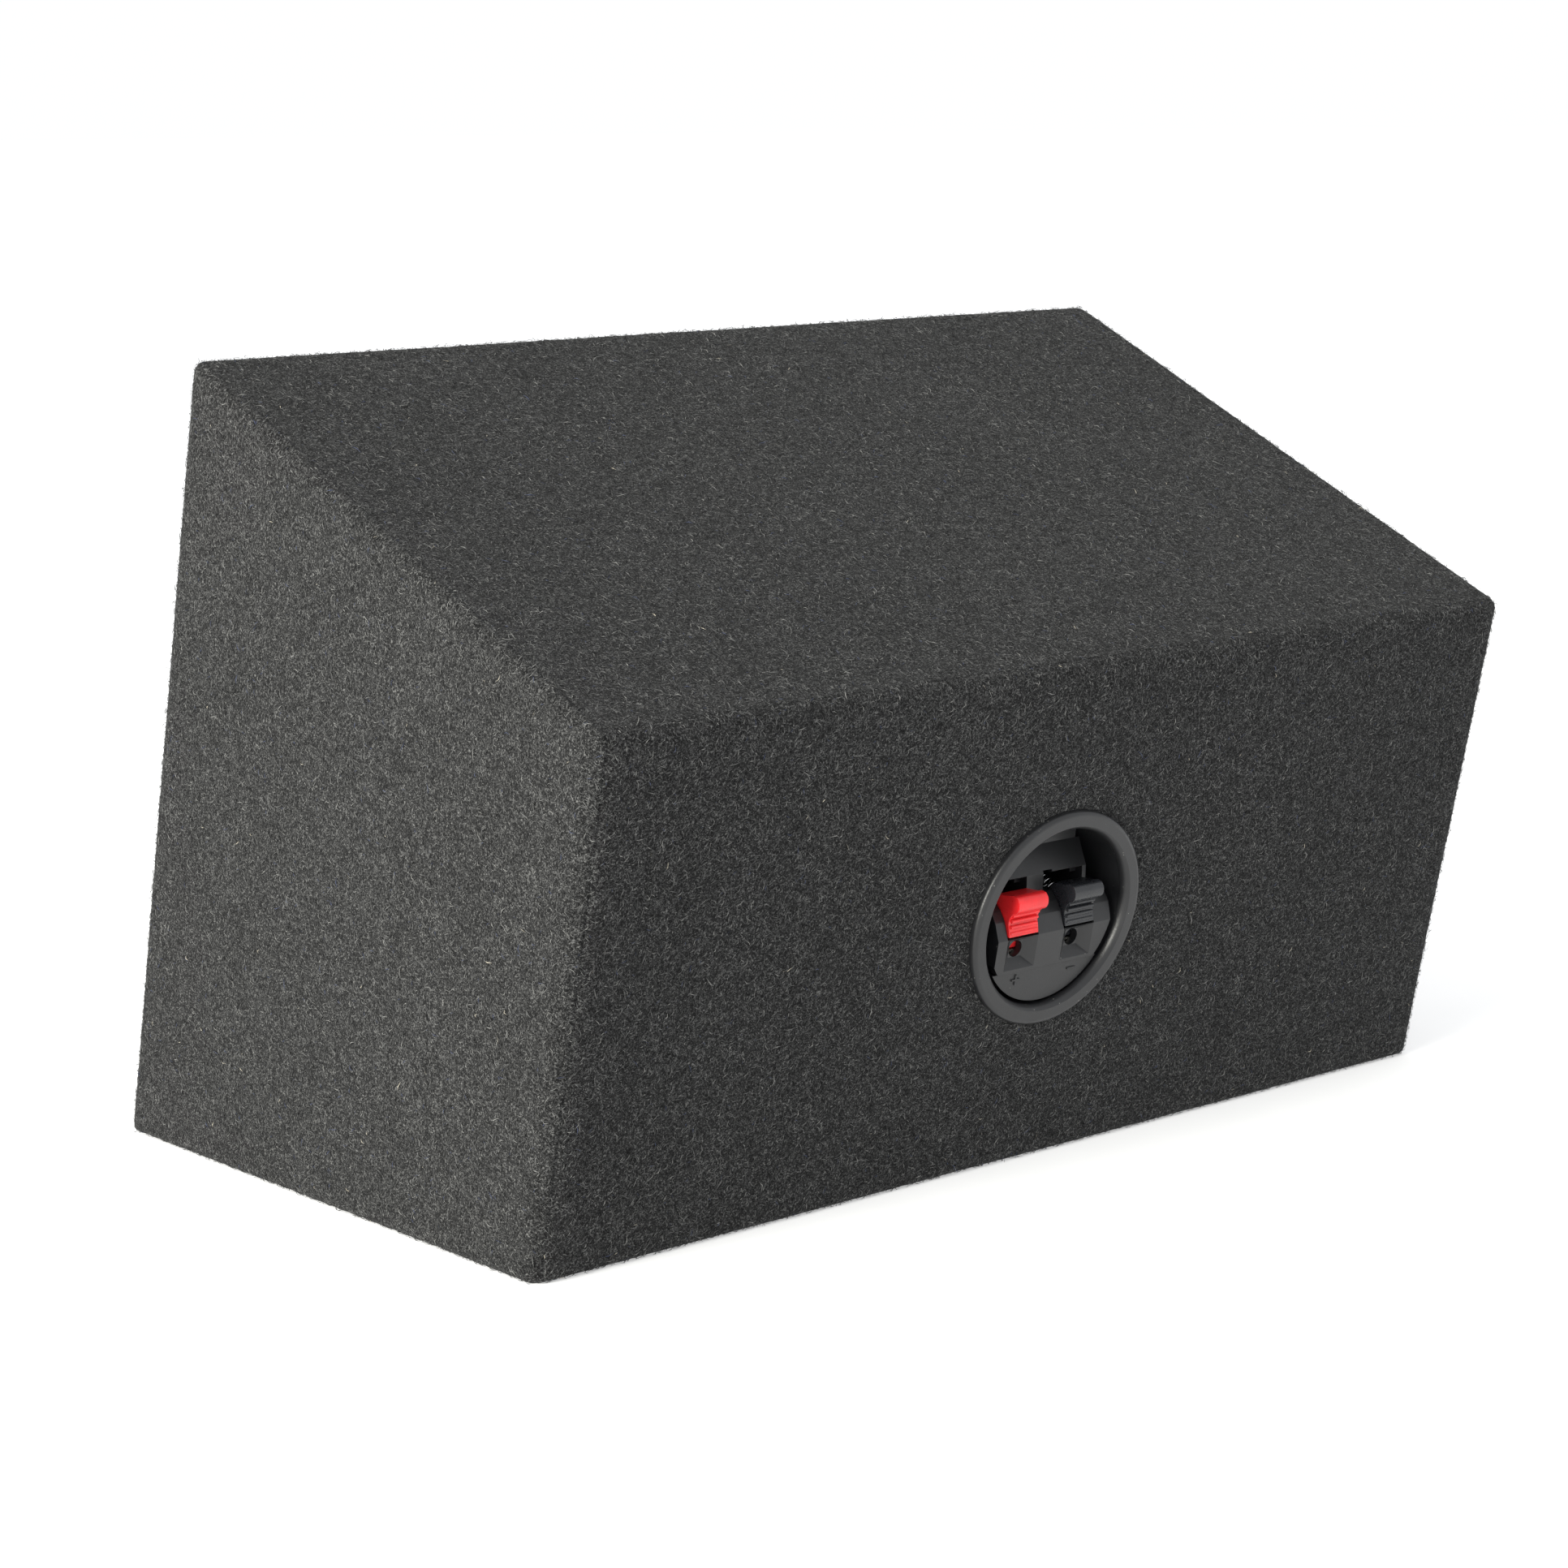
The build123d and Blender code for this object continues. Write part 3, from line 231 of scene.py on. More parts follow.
class Finish:
    """A Principled material with short calls for the texture nodes that drive it."""

    def __init__(self, name, **constants):
        self.made = bpy.data.materials.new(name)
        self.made.use_nodes = True
        self.nodes = self.made.node_tree.nodes
        self.links = self.made.node_tree.links
        self.shader = self.nodes["Principled BSDF"]
        self.place = self.nodes.new("ShaderNodeTexCoord").outputs["Object"]
        for socket, value in constants.items():
            self.shader.inputs[socket.replace("_", " ")].default_value = value

    def mapped(self, stretch=(1, 1, 1), turn=(0, 0, 0)):
        """Object coordinates, first turned and then stretched."""
        turned = self.nodes.new("ShaderNodeVectorRotate")
        turned.rotation_type = "EULER_XYZ"
        turned.inputs["Rotation"].default_value = turn
        self.links.new(self.place, turned.inputs["Vector"])
        scaled = self.nodes.new("ShaderNodeVectorMath")
        scaled.operation = "MULTIPLY"
        scaled.inputs[1].default_value = stretch
        self.links.new(turned.outputs["Vector"], scaled.inputs[0])
        return scaled.outputs["Vector"]

    def noise(self, size, detail=2.0, roughness=0.5, distortion=0.0, place=None, kind="FBM"):
        """Noise whose features are about size metres across."""
        node = self.nodes.new("ShaderNodeTexNoise")
        node.noise_type = kind
        node.inputs["Scale"].default_value = 1 / size
        node.inputs["Detail"].default_value = detail
        node.inputs["Roughness"].default_value = roughness
        node.inputs["Distortion"].default_value = distortion
        self.links.new(place or self.place, node.inputs["Vector"])
        return node.outputs["Fac"]

    def cells(self, size):
        """Distance to the middle of cells that are about size metres across."""
        node = self.nodes.new("ShaderNodeTexVoronoi")
        node.inputs["Scale"].default_value = 1 / size
        self.links.new(self.place, node.inputs["Vector"])
        return node.outputs["Distance"]

    def bands(self, size, axis="X", distortion=0.0, place=None):
        """Smooth stripes across an axis, size metres apart."""
        node = self.nodes.new("ShaderNodeTexWave")
        node.bands_direction = axis
        node.wave_profile = "SIN"
        node.inputs["Scale"].default_value = pi / 10 / size
        node.inputs["Distortion"].default_value = distortion
        self.links.new(place or self.place, node.inputs["Vector"])
        return node.outputs["Fac"]

    def maths(self, operation, a, b=0.0, clamp=False):
        node = self.nodes.new("ShaderNodeMath")
        node.operation = operation
        node.use_clamp = clamp
        for socket, value in zip(node.inputs, (a, b)):
            if isinstance(value, (int, float)):
                socket.default_value = value
            else:
                self.links.new(value, socket)
        return node.outputs["Value"]

    def ramp(self, factor, *stops):
        """Colours or greys at places from 0 to 1."""
        node = self.nodes.new("ShaderNodeValToRGB")
        elements = node.color_ramp.elements
        for k, (at, value) in enumerate(stops):
            element = elements[k] if k < 2 else elements.new(at)
            element.position = at
            rgb = value if isinstance(value, tuple) else (value,) * 3
            element.color = (*rgb, 1)
        self.links.new(factor, node.inputs["Fac"])
        return node.outputs["Color"]

    def mix(self, factor, a, b, blend="MIX"):
        node = self.nodes.new("ShaderNodeMix")
        node.data_type = "RGBA"
        node.blend_type = blend
        colours = [s for s in node.inputs if s.type == "RGBA"]
        for socket, value in zip((node.inputs[0], *colours), (factor, a, b)):
            if isinstance(value, (int, float)):
                socket.default_value = value
            elif isinstance(value, tuple):
                socket.default_value = (*value, 1)
            else:
                self.links.new(value, socket)
        return [s for s in node.outputs if s.type == "RGBA"][0]

    def colour(self, value):
        self.links.new(value, self.shader.inputs["Base Color"])
        return self

    def rough(self, value):
        self.links.new(value, self.shader.inputs["Roughness"])
        return self

    def relief(self, height, depth, strength=1.0, edge=0.0):
        """Bump of a real depth in metres, over edges rounded by edge metres."""
        node = self.nodes.new("ShaderNodeBump")
        node.inputs["Strength"].default_value = strength
        node.inputs["Distance"].default_value = depth
        self.links.new(height, node.inputs["Height"])
        if edge:
            rounded = self.nodes.new("ShaderNodeBevel")
            rounded.samples = 4
            rounded.inputs["Radius"].default_value = edge
            self.links.new(rounded.outputs["Normal"], node.inputs["Normal"])
        self.links.new(node.outputs["Normal"], self.shader.inputs["Normal"])
        return self


def shades(rgb, low, high):
    """A colour made darker and lighter, for the two ends of a ramp."""
    return tuple(c * low for c in rgb), tuple(min(1.0, c * high) for c in rgb)


def carpet_finish():
    f = Finish("carpet_fibres", Roughness=0.95, Specular_IOR_Level=0.1)
    f.shader.inputs["Sheen Weight"].default_value = 0.04
    f.shader.inputs["Sheen Roughness"].default_value = 0.5
    hairs = f.noise(0.0008, 2.0, 0.6, 1.4)
    grain = f.noise(0.00042, 1.0, 0.6, 0.8)
    tufts = f.noise(0.0034, 2.0, 0.6)
    clouds = f.noise(0.045, 2.0, 0.5)
    height = f.maths("MULTIPLY", f.maths("ADD", hairs, grain), 0.5)
    fibres = f.ramp(
        height,
        (0.40, (0.0036, 0.0036, 0.0038)),
        (0.50, (0.0145, 0.0145, 0.0148)),
        (0.58, (0.050, 0.0503, 0.0505)),
        (0.68, (0.130, 0.130, 0.126)),
    )
    mottled = f.mix(1.0, fibres, f.ramp(tufts, (0.25, 0.75), (0.75, 1.25)), "MULTIPLY")
    f.colour(f.mix(1.0, mottled, f.ramp(clouds, (0.3, 0.93), (0.7, 1.06)), "MULTIPLY"))
    return f.relief(height, 0.0004, 0.9).made


def moulded(name, rgb, roughness, grain, edge=0.0002, dust=0.0):
    """Injection-moulded plastic: fine spark-eroded grain, faint flow marks, perhaps some dust."""
    f = Finish(name)
    flow = f.noise(0.006, 3.0, 0.55)
    fine = f.noise(grain, 2.0, 0.6)
    body = f.ramp(flow, (0.3, shades(rgb, 0.86, 1)[0]), (0.7, shades(rgb, 1, 1.14)[1]))
    if dust:
        specks = f.cells(0.0016)
        lone = f.noise(0.005, 1.0)
        near = f.ramp(specks, (0.05, 1.0), (0.11, 0.0))
        chance = f.ramp(lone, (0.56, 0.0), (0.62, 1.0))
        shown = f.maths("MULTIPLY", f.maths("MULTIPLY", near, chance), dust)
        body = f.mix(shown, body, (0.42, 0.41, 0.38))
    f.colour(body)
    f.rough(f.ramp(fine, (0.3, roughness - 0.07), (0.7, roughness + 0.07)))
    return f.relief(fine, 0.00004, 0.7, edge).made


def painted(name, rgb, roughness, peel, edge=0.0002):
    """Powder coat or satin paint, with its orange peel."""
    f = Finish(name)
    skin = f.noise(peel, 2.0, 0.5)
    wear = f.noise(0.02, 4.0, 0.6)
    f.colour(f.ramp(wear, (0.3, shades(rgb, 0.85, 1)[0]), (0.75, shades(rgb, 1, 1.25)[1])))
    f.rough(f.ramp(skin, (0.3, roughness - 0.06), (0.7, roughness + 0.08)))
    return f.relief(skin, 0.00006, 0.6, edge).made


def bare_metal(name, rgb, roughness, stretch=(1, 1, 1), size=0.0004):
    """Plated or drawn metal with fine tool marks and a cloudy bloom."""
    f = Finish(name, Metallic=1.0)
    marks = f.noise(size, 3.0, 0.6, place=f.mapped(stretch))
    bloom = f.noise(0.004, 3.0, 0.6)
    f.colour(f.ramp(bloom, (0.3, shades(rgb, 0.82, 1)[0]), (0.7, shades(rgb, 1, 1.08)[1])))
    f.rough(f.ramp(marks, (0.25, roughness - 0.05), (0.75, roughness + 0.12)))
    return f.relief(marks, 0.00001, 0.5).made


def paper(name, rgb, roughness=0.82, size=0.0012):
    """Pressed pulp or treated cloth, with short felted fibres."""
    f = Finish(name, Specular_IOR_Level=0.3)
    pulp = f.noise(size, 4.0, 0.7, 1.5, kind="RIDGED_MULTIFRACTAL")
    blotch = f.noise(0.008, 3.0, 0.6)
    tone = f.ramp(pulp, (0.2, shades(rgb, 0.7, 1)[0]), (0.9, shades(rgb, 1, 1.5)[1]))
    f.colour(f.mix(1.0, tone, f.ramp(blotch, (0.3, 0.9), (0.7, 1.1)), "MULTIPLY"))
    f.rough(f.ramp(pulp, (0.2, roughness - 0.08), (0.9, roughness + 0.08)))
    return f.relief(pulp, 0.00012, 0.7).made


def rubber(name, rgb, roughness=0.6):
    f = Finish(name, Specular_IOR_Level=0.4)
    skin = f.noise(0.0007, 3.0, 0.6)
    bloom = f.noise(0.012, 3.0, 0.6)
    f.colour(f.ramp(bloom, (0.3, shades(rgb, 0.85, 1)[0]), (0.7, shades(rgb, 1, 1.3)[1])))
    f.rough(f.ramp(bloom, (0.3, roughness - 0.07), (0.7, roughness + 0.1)))
    return f.relief(skin, 0.00004, 0.5, 0.0002).made


def foam(name, rgb):
    """Closed-cell foam, all pores."""
    f = Finish(name, Specular_IOR_Level=0.25)
    pores = f.cells(0.0006)
    f.colour(f.ramp(pores, (0.15, shades(rgb, 1, 1.5)[1]), (0.6, shades(rgb, 0.5, 1)[0])))
    f.rough(f.ramp(pores, (0.0, 0.8), (0.6, 0.95)))
    return f.relief(pores, 0.00015, 0.8).made


def fibreboard(name, low, high):
    """Medium-density fibreboard, raw or painted: fine chips under a faint cloud."""
    f = Finish(name, Specular_IOR_Level=0.3)
    chips = f.noise(0.0008, 4.0, 0.7, 0.8)
    cloud = f.noise(0.03, 2.0, 0.5)
    tone = f.ramp(chips, (0.3, low), (0.72, high))
    f.colour(f.mix(1.0, tone, f.ramp(cloud, (0.3, 0.93), (0.7, 1.07)), "MULTIPLY"))
    f.rough(f.ramp(chips, (0.3, 0.7), (0.7, 0.85)))
    return f.relief(chips, 0.00008, 0.5).made


def pine():
    """Sawn softwood with its grain along the width."""
    f = Finish("pine_grain", Specular_IOR_Level=0.3)
    grain = f.noise(0.004, 4.0, 0.6, 0.5, place=f.mapped((0.08, 1, 1)))
    rings = f.bands(0.003, "Z", 3.0, place=f.mapped((0.1, 1, 1), (0.3, 0, 0)))
    both = f.maths("MULTIPLY", f.maths("ADD", grain, rings), 0.5)
    f.colour(f.ramp(both, (0.2, (0.33, 0.19, 0.085)), (0.75, (0.66, 0.46, 0.25))))
    f.rough(f.ramp(grain, (0.3, 0.6), (0.7, 0.8)))
    return f.relief(both, 0.0002, 0.4).made


def felt():
    f = Finish("felt_grey", Roughness=0.95, Specular_IOR_Level=0.15)
    f.shader.inputs["Sheen Weight"].default_value = 0.3
    wool = f.noise(0.0016, 4.0, 0.7, 2.0, kind="RIDGED_MULTIFRACTAL")
    shoddy = f.noise(0.004, 2.0, 0.6)
    tone = f.ramp(wool, (0.2, (0.10, 0.10, 0.105)), (0.9, (0.34, 0.33, 0.33)))
    f.colour(f.mix(f.ramp(shoddy, (0.6, 0.0), (0.75, 0.5)), tone, (0.11, 0.13, 0.22)))
    return f.relief(wool, 0.0006, 0.9).made


def woven(name, low, high, pitch):
    """Cloth woven across the row's X and Z, stiffened with resin."""
    f = Finish(name, Specular_IOR_Level=0.35)
    warp = f.bands(pitch, "X")
    weft = f.bands(pitch, "Z")
    weave = f.maths("MAXIMUM", warp, weft)
    resin = f.noise(0.005, 3.0, 0.6)
    tone = f.ramp(weave, (0.35, low), (0.9, high))
    f.colour(f.mix(1.0, tone, f.ramp(resin, (0.3, 0.85), (0.7, 1.1)), "MULTIPLY"))
    f.rough(f.ramp(resin, (0.3, 0.5), (0.7, 0.75)))
    return f.relief(weave, 0.00015, 0.7).made


def winding(name, rgb, pitch):
    """Enamelled wire wound in close turns about the cabinet's Y axis."""
    f = Finish(name, Metallic=0.9)
    turns = f.bands(pitch, "Y", place=f.mapped(turn=(TAPER, 0, 0)))
    bloom = f.noise(0.003, 2.0, 0.5)
    f.colour(f.ramp(bloom, (0.3, shades(rgb, 0.75, 1)[0]), (0.7, shades(rgb, 1, 1.15)[1])))
    f.rough(f.ramp(turns, (0.0, 0.5), (1.0, 0.25)))
    return f.relief(turns, 0.00015, 0.9).made


def finishes():
    """Every CAD node's material, by the node's name."""
    raw_board = fibreboard("board_raw", (0.25, 0.165, 0.095), (0.46, 0.34, 0.21))
    black_board = fibreboard("board_black", (0.010, 0.010, 0.011), (0.026, 0.026, 0.027))
    sawn = pine()
    zinc = bare_metal("zinc_plate", (0.62, 0.62, 0.60), 0.38)
    black_screw = painted("screw_black", (0.016, 0.016, 0.017), 0.38, 0.0006)
    copper = winding("copper_winding", (0.55, 0.22, 0.09), 0.0005)
    horn = moulded("horn_moulding", (0.014, 0.014, 0.015), 0.42, 0.0005)
    ferrite = painted("ferrite_magnet", (0.035, 0.034, 0.036), 0.6, 0.0012)
    board = fibreboard("phenolic_board", (0.10, 0.045, 0.018), (0.17, 0.085, 0.035))
    bobbin = moulded("bobbin_moulding", (0.03, 0.03, 0.03), 0.5, 0.0006)
    black_rubber = foam("gasket_foam", (0.018, 0.018, 0.018))
    plate = bare_metal("nickel_plated", (0.80, 0.76, 0.66), 0.2)
    cup_plastic = moulded("cup_moulding", (0.010, 0.0103, 0.0115), 0.36, 0.0004, dust=0.45)
    return {
        "panel_top": raw_board,
        "panel_bottom": raw_board,
        "panel_rear": raw_board,
        "panel_end_left": raw_board,
        "panel_end_right": raw_board,
        "baffle": black_board,
        "baffle_cleat_top": sawn,
        "baffle_cleat_bottom": sawn,
        "baffle_cleats_upright": sawn,
        "edge_cleats": sawn,
        "panel_brads": bare_metal("brad_wire", (0.5, 0.5, 0.5), 0.35),
        "baffle_screws": zinc,
        "crossover_screws": zinc,
        "woofer_top_plate": zinc,
        "woofer_yoke": zinc,
        "woofer_basket": painted("basket_paint", (0.016, 0.016, 0.017), 0.45, 0.001),
        "woofer_cone": paper("cone_pulp", (0.020, 0.020, 0.021)),
        "woofer_dust_cap": paper("cap_cloth", (0.016, 0.016, 0.017), 0.6, 0.0008),
        "woofer_trim_ring": rubber("trim_ring_rubber", (0.016, 0.016, 0.017), 0.7),
        "woofer_former": bare_metal("former_foil", (0.72, 0.72, 0.73), 0.3),
        "woofer_coil": copper,
        "woofer_magnet": ferrite,
        "woofer_terminal_strip": board,
        "woofer_tabs": bare_metal("tinned_tabs", (0.72, 0.69, 0.60), 0.3),
        "woofer_screws": black_screw,
        "tweeter_gasket": black_rubber,
        "tweeter_horn": horn,
        "tweeter_can": horn,
        "tweeter_magnet": ferrite,
        "tweeter_diaphragm": bare_metal("dome_film", (0.60, 0.60, 0.63), 0.25),
        "tweeter_screws": black_screw,
        "crossover_board": board,
        "crossover_spacers": bobbin,
        "crossover_bobbin": bobbin,
        "crossover_coil": copper,
        "crossover_capacitor": moulded("capacitor_wrap", (0.62, 0.46, 0.07), 0.35, 0.001),
        "leads_positive": moulded("lead_red", (0.42, 0.014, 0.014), 0.42, 0.0008),
        "leads_negative": moulded("lead_black", (0.016, 0.016, 0.016), 0.42, 0.0008),
        "terminal_cup": cup_plastic,
        "lever_red": moulded("lever_moulding_red", (0.70, 0.018, 0.022), 0.34, 0.0006, 0.00015),
        "lever_black": moulded("lever_moulding_black", (0.013, 0.014, 0.017), 0.3, 0.0006, 0.00015),
        "contact_red": plate,
        "contact_black": plate,
        "lever_pin": bare_metal("pin_ground", (0.62, 0.62, 0.64), 0.25, (1, 8, 8)),
        "grille": painted("grille_coat", (0.014, 0.014, 0.015), 0.5, 0.0009, 0.0),
        "grille_spacers": rubber("spacer_rubber", (0.02, 0.02, 0.02)),
        "grille_screws": black_screw,
    }


def dress_frame():
    for node, finish in finishes().items():
        data = NODES[node].data
        data.materials.clear()
        data.materials.append(finish)


# ------------------------------------------------------------------ carpet

VOXEL = 0.00135
CARPET_PULL = 0.00018
BACKING = 0.0026


def skin_block():
    """The carpeted outside as one closed block, the mouth sunk into its front, edges sharp."""
    corners = []
    outside = (SIDE, 0.0, (FRONT, REAR))
    mouth = (MOUTH_SIDE, SKIN + CARPET, (FRONT, BAFFLE_FRONT))
    for x_half, inset, depths in (outside, mouth):
        for y in depths:
            for x in (-x_half, x_half):
                for side in (-1, 1):
                    corners.append((x, y, side * half_height(y, inset)))
    faces = [(0, 1, 5, 4), (2, 3, 7, 6), (1, 3, 7, 5), (0, 2, 6, 4), (4, 5, 7, 6), (12, 13, 15, 14)]
    loop = (0, 1, 3, 2)
    for a, b in zip(loop, loop[1:] + loop[:1]):
        faces.append((a, b, b + 8, a + 8))
        faces.append((a + 8, b + 8, b + 12, a + 12))
    return corners, faces


def edge_radius(a, b):
    """The rounding of an edge of the block, from the places of its two ends."""
    if abs(a.x) < SIDE - SKIN or abs(b.x) < SIDE - SKIN:
        on_mouth = a.y == b.y == FRONT and abs(a.x) < SIDE - SKIN and abs(b.x) < SIDE - SKIN
        return MOUTH_RADIUS if on_mouth else 0.0
    if a.x == b.x and a.y == b.y:
        return REAR_END_RADIUS if a.y > 0 else FRONT_END_RADIUS
    return TOP_RADIUS if a.z + b.z > 0 else BOTTOM_RADIUS


def rounded_skin():
    """The block with its edges rounded and its faces as a fine even net, as bmesh."""
    corners, faces = skin_block()
    block = new_piece("skin_block", corners, faces, smooth=False)
    bm = bmesh.new()
    bm.from_mesh(block.data)
    bmesh.ops.recalc_face_normals(bm, faces=bm.faces)
    weight = bm.edges.layers.float.new("bevel_weight_edge")
    for edge in bm.edges:
        a, b = (v.co for v in edge.verts)
        edge[weight] = edge_radius(a, b) / REAR_END_RADIUS
    bm.to_mesh(block.data)
    bm.free()
    bevel = block.modifiers.new("round", "BEVEL")
    bevel.limit_method = "WEIGHT"
    bevel.width = REAR_END_RADIUS
    bevel.segments = 6
    net = block.modifiers.new("net", "REMESH")
    net.mode = "VOXEL"
    net.voxel_size = VOXEL
    bm = bmesh.new()
    bm.from_mesh(baked_mesh(block))
    return bm


def in_cup_hole(point):
    off_axis = (point.x - CUP.x) ** 2 + (point.z - CUP.z) ** 2
    return point.y > WOOD_REAR - 0.001 and off_axis < CUP_HOLE_R**2


def carpet_zone(point):
    """Which of the five carpet pieces covers this point of the skin, if any."""
    if in_cup_hole(point):
        return None
    mouth_floor = BAFFLE_FRONT - VOXEL < point.y < 0 and abs(point.x) < MOUTH_SIDE - VOXEL
    if mouth_floor and abs(point.z) < half_height(point.y, SKIN + CARPET + VOXEL):
        return None
    if abs(point.x) > WOOD_SIDE:
        return "carpet_end_right" if point.x > 0 else "carpet_end_left"
    turned_in = point.y < BAFFLE_FRONT + VOXEL and abs(point.x) > MOUTH_SIDE - VOXEL / 2
    if turned_in and abs(point.z) < half_height(point.y, SKIN):
        return "carpet_end_right" if point.x > 0 else "carpet_end_left"
    if point.y > WOOD_REAR:
        return "carpet_rear"
    return "carpet_top" if point.z > 0 else "carpet_bottom"


def cut_along_seams(bm):
    """Adds edges where two carpet pieces butt."""
    slope = (0, sin(TAPER), cos(TAPER))
    seams = [((x, 0, 0), (1, 0, 0)) for x in (-WOOD_SIDE, WOOD_SIDE)]
    seams.append(((0, WOOD_REAR, 0), (0, 1, 0)))
    seams.append(((0, FRONT, half_height(FRONT, SKIN)), slope))
    seams.append(((0, FRONT, -half_height(FRONT, SKIN)), (0, slope[1], -slope[2])))
    for place, normal in seams:
        everything = bm.verts[:] + bm.edges[:] + bm.faces[:]
        bmesh.ops.bisect_plane(bm, geom=everything, plane_co=place, plane_no=normal, dist=1e-5)


def uneven(point):
    """How far the carpet stands proud at a point: slow pulls over the board and small tufts."""
    slow = noise.noise(point * 22.0)
    tufts = noise.noise(point * 160.0)
    fine = noise.noise(point * 420.0)
    return CARPET_PULL * (0.5 * slow + 0.35 * tufts + 0.4 * fine - 0.35)


def carpet_pieces():
    """The five pieces of carpet, cut from one rounded skin, with their outer faces for the fuzz."""
    bm = rounded_skin()
    cut_along_seams(bm)
    bm.normal_update()
    zones = {}
    for face in bm.faces:
        zone = carpet_zone(face.calc_center_median())
        if zone:
            zones.setdefault(zone, []).append(face)
    moved = {}
    for vertex in bm.verts:
        moved[vertex.index] = vertex.co + vertex.normal * uneven(vertex.co)
    made = {}
    for zone, faces in sorted(zones.items()):
        used = sorted({v.index for face in faces for v in face.verts})
        order = {index: k for k, index in enumerate(used)}
        points = in_row([moved[index] for index in used])
        points[:, 2] = np.maximum(points[:, 2], 0.0)
        piece = new_piece(zone + "_skin", points, [[order[v.index] for v in f.verts] for f in faces])
        made[zone] = piece
    bm.free()
    return made


# ------------------------------------------------------------------ fuzz

STRANDS_PER_M2 = 1.45e6
FUZZ_SEED = 7

# A strand's length follows a gamma distribution of this shape and scale
FIBRE_SHAPE = 9.0
FIBRE_SCALE = 0.00021
FIBRE_HALF_WIDTHS = (0.00005, 0.00010)
ROOT_DEPTH = 0.0001
OFF_FLOOR = 0.0001

# Each tone's name, its colour and its share of the strands
FIBRE_TONES = (
    ("fibre_dark", (0.007, 0.007, 0.0075), 0.37),
    ("fibre_mid", (0.032, 0.0325, 0.033), 0.33),
    ("fibre_light", (0.090, 0.091, 0.090), 0.24),
    ("fibre_pale", (0.155, 0.155, 0.15), 0.045),
    ("fibre_blue", (0.035, 0.043, 0.080), 0.014),
    ("fibre_lint", (0.36, 0.33, 0.27), 0.001),
)


def fibre_finish(name, rgb):
    f = Finish(name, Roughness=0.75, Specular_IOR_Level=0.3)
    f.shader.inputs["Base Color"].default_value = (*rgb, 1)
    return f.made


def triangles_of(mesh):
    """Corner points and corner normals of the mesh's triangles."""
    mesh.calc_loop_triangles()
    points = np.zeros(len(mesh.vertices) * 3)
    mesh.vertices.foreach_get("co", points)
    normals = np.zeros(len(mesh.vertices) * 3)
    mesh.vertices.foreach_get("normal", normals)
    corners = np.zeros(len(mesh.loop_triangles) * 3, int)
    mesh.loop_triangles.foreach_get("vertices", corners)
    corners = corners.reshape(-1, 3)
    return points.reshape(-1, 3)[corners], normals.reshape(-1, 3)[corners]


def unit(vectors):
    return vectors / np.linalg.norm(vectors, axis=1)[:, None]


def roots_on(mesh, rng):
    """Random even places on a mesh, with their normals."""
    corners, normals = triangles_of(mesh)
    first = corners[:, 1] - corners[:, 0]
    second = corners[:, 2] - corners[:, 0]
    area = np.linalg.norm(np.cross(first, second), axis=1) / 2
    count = int(area.sum() * STRANDS_PER_M2)
    pick = rng.choice(len(area), count, p=area / area.sum())
    share = rng.dirichlet((1, 1, 1), count)[:, :, None]
    return (corners[pick] * share).sum(1), unit((normals[pick] * share).sum(1))


def fuzz_on(skin, name, tones, rng):
    """Short bent fibres that lie on a carpet piece: two slim triangles each."""
    root, normal = roots_on(skin.data, rng)
    count = len(root)
    across = unit(np.cross(normal, rng.normal(size=(count, 3))))
    along = np.cross(normal, across)
    length = rng.gamma(FIBRE_SHAPE, FIBRE_SCALE, count)[:, None]
    lift = rng.uniform(0.04, 0.42, count)[:, None]
    swerve = rng.normal(0, 0.6, count)[:, None]
    first = along * np.cos(lift) + normal * np.sin(lift)
    drop = rng.uniform(-0.35, 0.10, count)[:, None]
    second = unit(along * np.cos(swerve) + across * np.sin(swerve) + normal * drop)
    middle = root + first * length / 2
    tip = middle + second * length / 2
    roll = rng.uniform(-1.1, 1.1, count)[:, None]
    wide = across * np.cos(roll) + normal * np.sin(roll)
    half = wide * rng.uniform(*FIBRE_HALF_WIDTHS, count)[:, None]
    root = root - normal * ROOT_DEPTH
    points = np.stack([root, middle - half, middle + half, tip], axis=1).reshape(-1, 3)
    points[:, 2] = np.maximum(points[:, 2], OFF_FLOOR)
    start = np.arange(count)[:, None] * 4
    faces = np.stack([start + (0, 1, 2), start + (1, 3, 2)], axis=1).reshape(-1, 3)
    piece = new_piece(name, points, faces.tolist(), smooth=False)
    for tone in tones:
        piece.data.materials.append(tone)
    shares = [share for _, _, share in FIBRE_TONES]
    tone = rng.choice(len(tones), count, p=np.array(shares) / sum(shares))
    piece.data.polygons.foreach_set("material_index", np.repeat(tone, 2).astype(np.int32))
    return piece


def make_carpet():
    finish = carpet_finish()
    tones = [fibre_finish(name, rgb) for name, rgb, _ in FIBRE_TONES]
    rng = np.random.default_rng(FUZZ_SEED)
    for zone, skin in carpet_pieces().items():
        skin.data.materials.append(finish)
        fuzz = None
        if zone != "carpet_bottom":
            fuzz = fuzz_on(skin, zone.replace("carpet", "fuzz"), tones, rng)
            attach(fuzz, "cabinet")
        backing = skin.modifiers.new("backing", "SOLIDIFY")
        backing.thickness = BACKING
        backing.offset = -1
        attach(skin, "cabinet")
        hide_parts(zone)


# ------------------------------------------------------------------ springs, cone parts, felt


